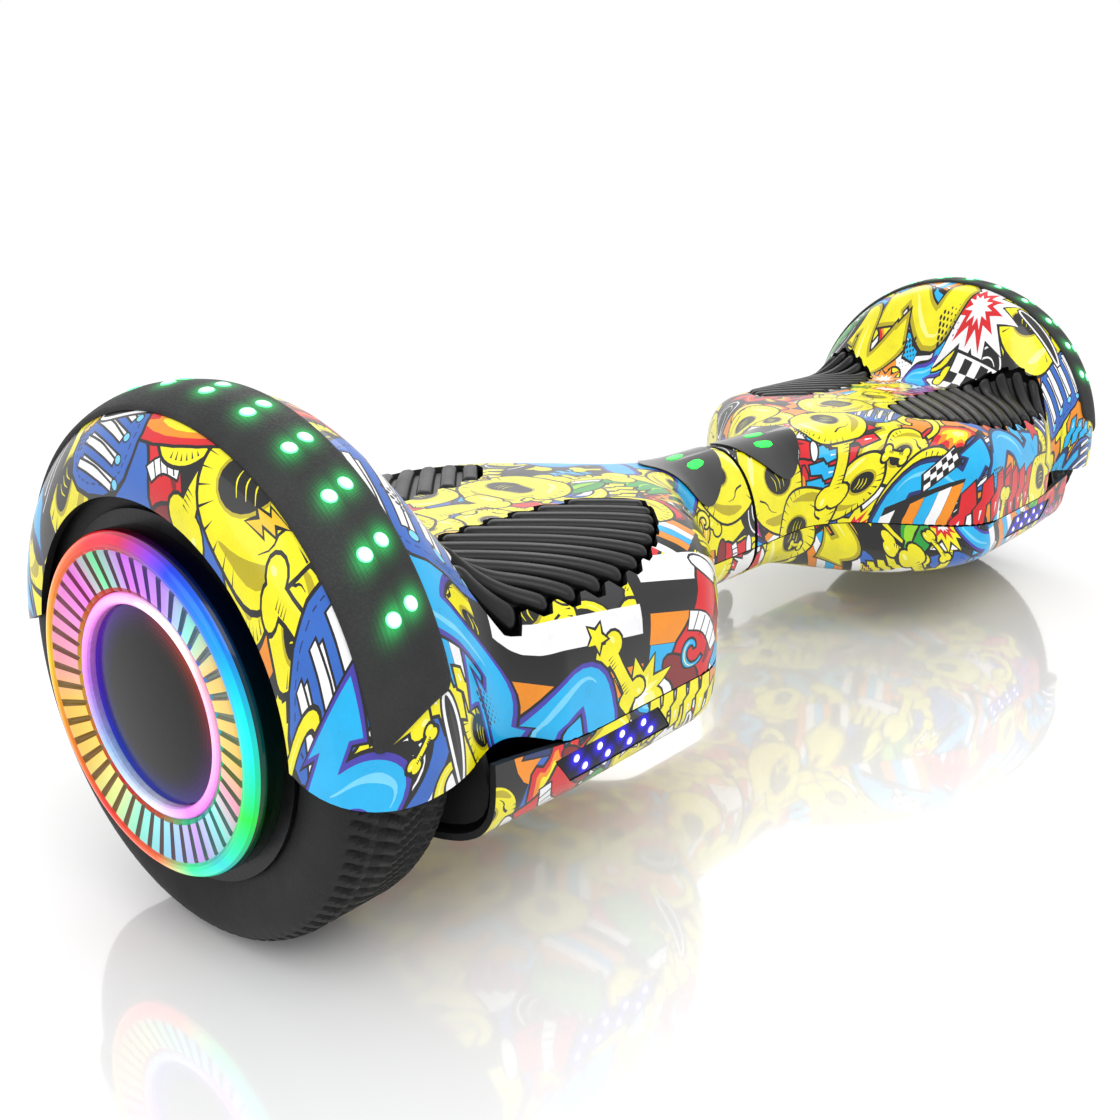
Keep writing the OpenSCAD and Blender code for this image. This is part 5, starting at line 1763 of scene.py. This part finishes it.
@dataclass
class Wheel:
    """Tyre, lit cover, bright ring and gloss disc of one wheel."""

    form: BoardForm
    cover_x: float
    cover_r: float = 53.5
    ring_r: float = 33.0
    ring_w: float = 4.0
    rim_r: float = 58.0
    bars: int = 46
    cells: int = 8
    bar_cells: int = 5
    groove_pitch: float = 5.3
    groove_depth: float = 1.5

    BARS = ColourWheel(((0, (0.85, 0.30, 0.98)), (25, (0.72, 0.45, 0.98)), (42, (0.45, 0.92, 0.85)),
                        (60, (0.95, 0.78, 0.25)), (95, (1.0, 0.80, 0.22)), (112, (0.98, 0.62, 0.75)),
                        (130, (0.45, 0.95, 0.90)), (150, (0.80, 0.60, 0.98)), (172, (0.55, 0.85, 1.0)),
                        (195, (0.55, 0.98, 0.85)), (212, (0.90, 0.97, 0.55)), (232, (0.98, 0.82, 0.30)),
                        (258, (1.0, 0.78, 0.20)), (275, (0.99, 0.62, 0.66)), (300, (0.98, 0.55, 0.85)),
                        (322, (0.95, 0.38, 0.90)), (340, (0.35, 0.92, 0.60))))
    RIM = ColourWheel(((0, (0.75, 0.15, 0.30)), (25, (0.12, 0.25, 0.95)), (55, (0.05, 0.55, 1.0)),
                       (85, (0.05, 0.90, 0.85)), (112, (0.10, 0.95, 0.25)), (140, (0.05, 0.75, 0.75)),
                       (160, (0.10, 0.95, 0.60)), (182, (0.95, 0.35, 0.10)), (215, (0.98, 0.15, 0.08)),
                       (245, (0.99, 0.55, 0.05)), (275, (1.0, 0.78, 0.05)), (310, (0.98, 0.45, 0.05)),
                       (340, (0.95, 0.12, 0.15))))
    NEON = ColourWheel(((0, (1.0, 0.62, 0.92)), (30, (1.0, 0.95, 0.92)), (60, (1.0, 0.66, 0.70)),
                        (100, (1.0, 0.60, 0.85)), (150, (0.95, 0.45, 1.0)), (185, (0.88, 0.90, 1.0)),
                        (230, (0.62, 0.78, 1.0)), (270, (0.80, 0.50, 1.0)), (320, (1.0, 0.55, 0.95))))
    # Painted light: colours of the ring's light where it falls on the black gloss disc near its edge; the
    # disc itself is no lamp.
    RING_SPILL = ColourWheel(((0, (0.25, 0.05, 0.30)), (45, (0.80, 0.22, 0.08)), (75, (0.70, 0.10, 0.05)),
                        (110, (0.30, 0.05, 0.35)), (180, (0.05, 0.12, 0.55)), (240, (0.10, 0.15, 0.75)),
                        (300, (0.28, 0.10, 0.65))))

    def lathe(self, profile: Sequence[tuple[float, float]], segments: int) -> Array:
        """Return a grid of points from x and radius pairs, turned clockwise from the top."""
        angle = np.linspace(0, 2 * math.pi, segments, endpoint=False)
        x = np.array([q[0] for q in profile])[:, None] + 0 * angle[None, :]
        r = np.array([q[1] for q in profile])[:, None]
        return np.stack([x, -r * np.sin(angle), self.form.axle_z + r * np.cos(angle)], -1)

    def wide(self, segments: int) -> Array:
        """Return the angle in degrees at the middle of each segment."""
        return (np.arange(segments) + 0.5) * 360.0 / segments

    def tyre(self, bench: Bench) -> None:
        """Build the tyre with smooth walls and fine slanted tread grooves."""
        inside, outside, tall = self.form.tyre_in, self.form.tyre_out, self.form.axle_z
        wall = [(2.0, self.rim_r), (0.9, self.rim_r + 3.5), (0.1, tall - 15), (0.0, tall - 11.5),
                (0.3, tall - 8),
                (1.4, tall - 4.8), (2.8, tall - 2.9), (4.6, tall - 1.5), (6.6, tall - 0.75)]
        tread = [(inside + 9 + (outside - inside - 18) * k / 14, tall - 0.35) for k in range(15)]
        profile = [(inside + dx, r) for dx, r in wall] + tread + [(outside - dx, r) for dx, r in wall[::-1]]
        grooves = round(2 * math.pi * tall / self.groove_pitch)
        segments = grooves * 8
        grid = self.lathe(profile, segments)
        middle = (inside + outside) / 2
        offset = np.abs(grid[..., 0] - middle)
        phase = np.arange(segments)[None, :] / 8 + offset / self.groove_pitch * 0.7
        cut = np.clip(np.sin(2 * math.pi * phase) * 3 - 0.9, 0, 1)
        reach = ease(0, 1, (19.2 - offset) / 2.5)
        ring = np.where(np.abs(offset - 8.2) < 0.9, 1.0, 0.0)
        depth = self.groove_depth * np.maximum(cut * reach, ring) * (offset < 19.0)
        radial = grid - np.stack([grid[..., 0], 0 * depth, 0 * depth + self.form.axle_z], -1)
        length = np.linalg.norm(radial, axis=-1, keepdims=True)
        grid = grid - radial / length * depth[..., None]
        draft = Draft()
        draft.add_grid(grid)
        bench.write(draft, "ribbed_tyre", "tyre", Slot.TYRE, "wheel", 50.0)

    def cover(self, bench: Bench) -> None:
        """Build the lit cover: a rounded rim and a dish of raised bars."""
        x, r, hub = self.cover_x, self.cover_r, self.ring_r + self.ring_w / 2 + 0.3
        foot = self.form.tyre_out - 0.4
        rim = [(foot, r), (x - 4.5, r), (x - 2.6, r - 0.4), (x - 1.3, r - 1.1), (x - 0.45, r - 2.1),
               (x, r - 3.4),
               (x - 0.1, r - 4.6), (x - 0.5, r - 5.6)]
        bars = [mix(np.array((x - 0.7, r - 6.2)), np.array((x - 2.4, hub + 1.2)),
                    k / 10) for k in range(11)]
        back = [(x - 2.6, hub), (x - 4.8, hub), (x - 3.4, r - 6.5), (x - 5.2, r - 2.2), (foot, r - 2.2)]
        profile = rim + [tuple(q) for q in bars] + back
        segments = self.bars * self.cells
        grid = self.lathe(profile, segments)
        lit = (np.arange(segments) % self.cells) < self.bar_cells
        edge = (np.arange(segments) % self.cells) <= self.bar_cells
        grid[len(rim):len(rim) + 11, :, 0] += np.where(edge, 0.35, -0.45)[None, :]
        angle = self.wide(segments)
        tints = np.zeros((len(profile) - 1, segments, 4))
        glow = self.RIM.at(angle)
        tints[..., :3] = glow[None]
        strength = np.array([0.02, 0.1, 0.55, 1.0, 1.0, 0.75, 0.5])
        tints[:len(rim) - 1, :, 3] = strength[:len(rim) - 1, None]
        tints[:2, :, :3] *= np.array([0.06, 0.25])[:, None, None]
        rows = slice(len(rim) - 1, len(rim) + 10)
        count = rows.stop - rows.start
        bright = self.BARS.at(angle)
        fade = np.linspace(0.75, 1.0, count)[:, None]
        wash = 0.16 * bright + 0.16 * self.RIM.at(angle + 12)
        tints[rows, :, :3] = np.where(lit[None, :, None], mix(bright, 1.0, 0.05)[None], wash[None])
        tints[rows, :, 3] = np.where(lit[None, :], 0.72 * fade, 0.34)
        tints[rows.stop:, :, 3] = 0.3
        draft = Draft()
        draft.add_grid(grid, tints=tints)
        bench.write(draft, "lit_dish", "wheel_cover", Slot.COVER, "wheel", 40.0)

    def ring(self, bench: Bench) -> None:
        """Build the thin bright ring as a rounded bead that glows most strongly across its front."""
        x, a, b = self.cover_x - 5.5, self.ring_r - self.ring_w / 2 + 0.3, self.ring_r + self.ring_w / 2
        profile = [(x, a), (x, b), (x + 2.4, b), (x + 3.1, b - 0.3), (x + 3.5, b - 0.9),
                   (x + 3.75, b - 1.5),
                   (x + 3.8, b - 2.1), (x + 3.6, a + 1.0), (x + 3.2, a + 0.4), (x + 2.4, a), (x, a)]
        segments = 192
        angle = self.wide(segments)
        tints = np.zeros((len(profile) - 1, segments, 4))
        tints[..., :3] = self.NEON.at(angle)[None]
        strength = np.array([0.1, 0.2, 0.35, 0.6, 0.9, 1.0, 1.0, 0.75, 0.4, 0.1])
        tints[..., 3] = strength[:, None] * (0.72 + 0.28 * np.cos(np.radians(angle - 32)))[None]
        draft = Draft()
        draft.add_grid(self.lathe(profile, segments), tints=tints)
        bench.write(draft, "bright_ring", "cover_ring", Slot.RING, "wheel", 60.0)

    def disc(self, bench: Bench) -> None:
        """Build the gloss disc, with the ring's coloured light painted onto its edge as a glow."""
        a = self.ring_r - self.ring_w / 2
        x = self.cover_x - 6.5
        foot = self.form.tyre_out - 0.4
        radii = [0.01] + [a * k / 20 for k in range(1, 21)]
        face = [(x + 3.0 - 1.2 * (r / a) ** 2, r) for r in radii]
        profile = face + [(x + 0.4, a + 0.2), (x, 20.0), (foot, 20.0), (foot, 0.01)]
        segments = 128
        angle = self.wide(segments)
        # Painted light: the disc's edge takes the ring's spilled colour and glows with it, though the disc
        # is no lamp.
        painted_spill = self.RING_SPILL.at(angle)
        middle = np.array([(profile[k][1] + profile[k + 1][1]) / 2 / a for k in range(len(profile) - 1)])
        share = ease(0.55, 1.05, middle) ** 1.5
        share[20:] = 0.0
        tints = np.zeros((len(profile) - 1, segments, 4))
        tints[..., :3] = mix(np.array(linear((0.03, 0.03, 0.035)))[None, None], painted_spill[None],
                             share[:, None, None])
        tints[..., 3] = share[:, None] * 0.9
        draft = Draft()
        draft.add_grid(self.lathe(profile, segments), tints=tints, flip=True)
        bench.write(draft, "hub_disc", "cover_disc", Slot.DISC, "wheel", 50.0)

    def build(self, bench: Bench) -> None:
        """Build the wheel's four visible pieces."""
        for part in (self.tyre, self.cover, self.ring, self.disc):
            part(bench)


# ---- small lit parts
@dataclass
class Headlight:
    """Slanted smoked lens in the lower shell with two staggered rows of violet lamps."""

    form: BoardForm
    skin: SkinMap
    columns: int = 4
    column_step: float = 11.5
    lamp_r: float = 1.5
    halo: float = 2.2
    lens_drop: float = 0.35
    lens_back: float = 2.2

    @property
    def seam_z(self) -> float:
        """Return the seam's height over the flat part of the deck."""
        return self.form.axle_z - self.form.seam_drop

    def outline(self) -> Outline:
        """Return the lens outline in the flat space."""
        start, end, z = self.form.deck_end - 53.0, self.form.deck_end + 7.0, self.seam_z
        corners = [(start, z - 14), (end - 8, z - 14), (end, z - 4), (start + 8, z - 4)]
        dense = []
        for k, corner in enumerate(corners):
            after = corners[(k + 1) % 4]
            dense += [mix(np.array(corner), np.array(after), share) for share in np.linspace(0, 0.9, 10)]
        return np.array([self.skin.from_side(float(s), float(z), 2, True) for s, z in dense])

    def lamps(self) -> Array:
        """Return the lamps' flat places."""
        spots = []
        for k in range(self.columns):
            for row in range(2):
                s = self.form.deck_end - 42.0 + k * self.column_step + row * 4.5
                spots.append(self.skin.from_side(s, self.seam_z - 11.2 + row * 4.4, 2, True))
        return np.array(spots)

    def build(self, bench: Bench) -> None:
        """Build the lens and its lamps."""
        lamps = self.lamps()
        points, tris = flat_triangles(self.outline(), 1.1)
        middle = points[tris].mean(1)
        gap = np.linalg.norm(middle[:, None] - lamps[None], axis=-1).min(1)
        glow = 0.9 * np.exp(-((np.maximum(gap - self.lamp_r, 0) / self.halo) ** 1.4))
        dark, violet = np.array(linear((0.035, 0.035, 0.06))), np.array(linear((0.16, 0.08, 0.98)))
        tints = [(*mix(dark, violet, g), g) for g in glow]
        draft = Draft()
        close_sheet(draft, self.skin, points, tris, -self.lens_drop, -self.lens_back, tints)
        bench.write(draft, "smoked_headlight", "headlight_lens", Slot.LENS, looks=(Slot.DISC,))
        beads = Draft()
        add_lamps(beads, self.skin, lamps, self.lamp_r, -0.55, (0.88, 0.86, 1.0), (0.28, 0.18, 1.0))
        bench.write(beads, "violet_lamps", "headlight_leds", Slot.VIOLET, sharp=60.0)


@dataclass
class WaistPanel:
    """Leaf-shaped smoked panel on the waist with two slanted status bars."""

    skin: SkinMap
    rise: float = 0.9
    mesh_step: float = 2.5

    LEAF = ((3.5, 3), (8, -9), (20, -19), (36, -23), (50, -17), (59, -2), (46, 9), (26, 12), (9, 9))
    BARS = (((21, -10), (33, -12), (35, -8.5), (23, -6.5)), ((25, -2), (37, -4), (39, -0.5), (27, 1.5)))

    def sheet(self, draft: Draft, plan: Outline, high: float, low: float, tint: tuple[float, ...]) -> None:
        """Add a slab that follows the skin over a plan outline."""
        points, tris = flat_triangles(self.skin.from_plan(plan), self.mesh_step)
        close_sheet(draft, self.skin, points, tris, high, low, [tint] * len(tris))

    def build(self, bench: Bench) -> None:
        """Build the panel and its bars."""
        panel, bars = Draft(), Draft()
        self.sheet(panel, rounded(self.LEAF, 3), self.rise, -0.3, Ink.BLACK.tint)
        green = (*linear((0.05, 0.85, 0.25)), 0.8)
        for bar in self.BARS:
            self.sheet(bars, rounded(bar, 1), self.rise + 0.25, self.rise - 0.2, green)
        bench.write(panel, "smoked_leaf", "waist_panel", Slot.LENS)
        bench.write(bars, "status_bars", "waist_lights", Slot.GREEN)


# ---- the whole board
@dataclass
class Half:
    """One half of the board with its shells, pads, strip, lights and wheel."""

    form: BoardForm
    side: Side
    seed: int
    pad_gap: float = 0.9

    def service_holes(self, lower: SkinMap) -> list[Outline]:
        """Return the openings for the charging socket and the power button."""
        holes = []
        for node, gap in (("charge_socket", 0.35), ("power_button", 0.15)):
            low, high = half_box(node)
            middle_s = (low.x + high.x) / 2
            radius = 10.2 if node == "charge_socket" else 7.0
            middle_z = high.z - radius if node == "charge_socket" else (low.z + high.z) / 2
            ring = oval(middle_s, middle_z, radius + gap, radius + gap, 40)
            holes.append(np.array([lower.from_side(float(s), float(z), 2, False) for s, z in ring]))
        return holes

    def build(self, finishes: Finishes) -> None:
        """Build every visible piece of the half."""
        bench = Bench(self.side, finishes)
        upper = SkinMap(self.form, Face.TOP, self.form.top_end)
        lower = SkinMap(self.form, Face.BOTTOM, self.form.tyre_in - 4.0)
        plan = PadPlan(self.form)
        stepped = grown(plan.stepped(), self.pad_gap)
        pads = [upper.from_plan(stepped * (1.0, facing)) for facing in (-1.0, 1.0)]
        headlight = Headlight(self.form, lower)
        holes = [grown(headlight.outline(), 0.35)]
        if self.side is Side.RIGHT:
            holes += self.service_holes(lower)
        PrintedShell(self.form, self.side, Face.TOP, upper, pads, self.seed).build(bench)
        PrintedShell(self.form, self.side, Face.BOTTOM, lower, holes, self.seed + 7).build(bench)
        for front in (True, False):
            FootPad(plan, upper, front).build(bench)
        FenderStrip(self.form, upper).build(bench)
        headlight.build(bench)
        WaistPanel(upper).build(bench)
        cover_high = half_box("right_wheel_cover")[1]
        Wheel(self.form, cover_high.x).build(bench)


# ---- studio
@dataclass(frozen=True)
class Studio:
    """Pale floor, soft lights and the camera."""

    floor_half: float = 9.0
    target: tuple[float, float, float] = (0.07357, 0.08869, -0.00493)
    distance: float = 0.71361
    azimuth: float = -53.2
    elevation: float = 19.51
    roll: float = 1.13
    lens: float = 39.52
    shift: tuple[float, float] = (-0.082, 0.0369)

    def floor(self) -> bpy.types.Object:
        """Build the glossy pale floor."""
        desk = Desk("pale_floor")
        desk.set(Specular_IOR_Level=1.0, Coat_Weight=1.0, Coat_Roughness=0.03, Coat_IOR=1.8)
        cloud = desk.noise(0.7, 2.0)
        tone = desk.blend(cloud, "Fac", (0.965, 0.965, 0.967), (0.975, 0.975, 0.975))
        desk.join(tone, "Color", desk.shader, "Base Color")
        rough = desk.span(cloud, "Fac", 0.10, 0.14)
        desk.join(rough, "Result", desk.shader, "Roughness")
        h = self.floor_half
        mesh = bpy.data.meshes.new("floor")
        mesh.from_pydata([(-h, -h, 0), (h, -h, 0), (h, h, 0), (-h, h, 0)], [], [(0, 1, 2, 3)])
        mesh.materials.append(desk.material)
        floor = bpy.data.objects.new("floor", mesh)
        bpy.context.scene.collection.objects.link(floor)
        return floor

    def light(self, name: str, place: Sequence[float], size: float, power: float) -> None:
        """Hang a soft square light that faces the board."""
        lamp = bpy.data.lights.new(name, "AREA")
        lamp.shape = "SQUARE"
        lamp.size = size
        lamp.energy = power
        holder = bpy.data.objects.new(name, lamp)
        holder.location = place
        holder.rotation_mode = "QUATERNION"
        holder.rotation_quaternion = (Vector((0, 0, 0.08)) - Vector(place)).to_track_quat("-Z", "Y")
        bpy.context.scene.collection.objects.link(holder)

    def camera(self) -> None:
        """Place the camera."""
        az, el, roll = (math.radians(a) for a in (self.azimuth, self.elevation, self.roll))
        back = Vector((math.sin(az) * math.cos(el), -math.cos(az) * math.cos(el), math.sin(el)))
        right = Vector((math.cos(az), math.sin(az), 0.0))
        up = back.cross(right)
        tilted_right = right * math.cos(roll) + up * math.sin(roll)
        tilted_up = up * math.cos(roll) - right * math.sin(roll)
        data = bpy.data.cameras.new("camera")
        data.lens = self.lens
        data.sensor_width = 36.0
        data.shift_x, data.shift_y = self.shift
        data.clip_start, data.clip_end = 0.01, 60.0
        camera = bpy.data.objects.new("camera", data)
        turn = Matrix((tilted_right, tilted_up, back)).transposed()
        camera.matrix_world = Matrix.Translation(Vector(self.target) + back * self.distance) @ turn.to_4x4()
        bpy.context.scene.collection.objects.link(camera)
        bpy.context.scene.camera = camera

    def world(self) -> None:
        """Fill the surroundings with an even white light."""
        world = bpy.data.worlds.new("studio")
        world.use_nodes = True
        background = world.node_tree.nodes["Background"]
        background.inputs["Color"].default_value = (1.0, 1.0, 1.0, 1.0)
        background.inputs["Strength"].default_value = 1.0
        bpy.context.scene.world = world
        bpy.context.scene.view_settings.view_transform = "Standard"

    def build(self) -> None:
        """Set up the whole studio."""
        self.camera()
        self.floor()
        self.world()
        self.light("key", (-0.5, -1.5, 2.3), 1.6, 26.0)
        self.light("fill", (-2.2, 0.3, 1.2), 1.4, 9.0)
        self.light("back", (1.6, 1.6, 1.9), 1.6, 14.0)


def main() -> None:
    """Build the board in order."""
    logging.basicConfig(level=logging.INFO, format="%(name)s: %(message)s")
    Studio().build()
    finishes = Finishes()
    LOG.info("%d frame nodes dressed", finishes.dress_frame())
    form = BoardForm.from_frame()
    for side, seed in ((Side.LEFT, 11), (Side.RIGHT, 29)):
        Half(form, side, seed).build(finishes)
        LOG.info("%s half done", side.value)


if __name__ == "__main__":
    main()
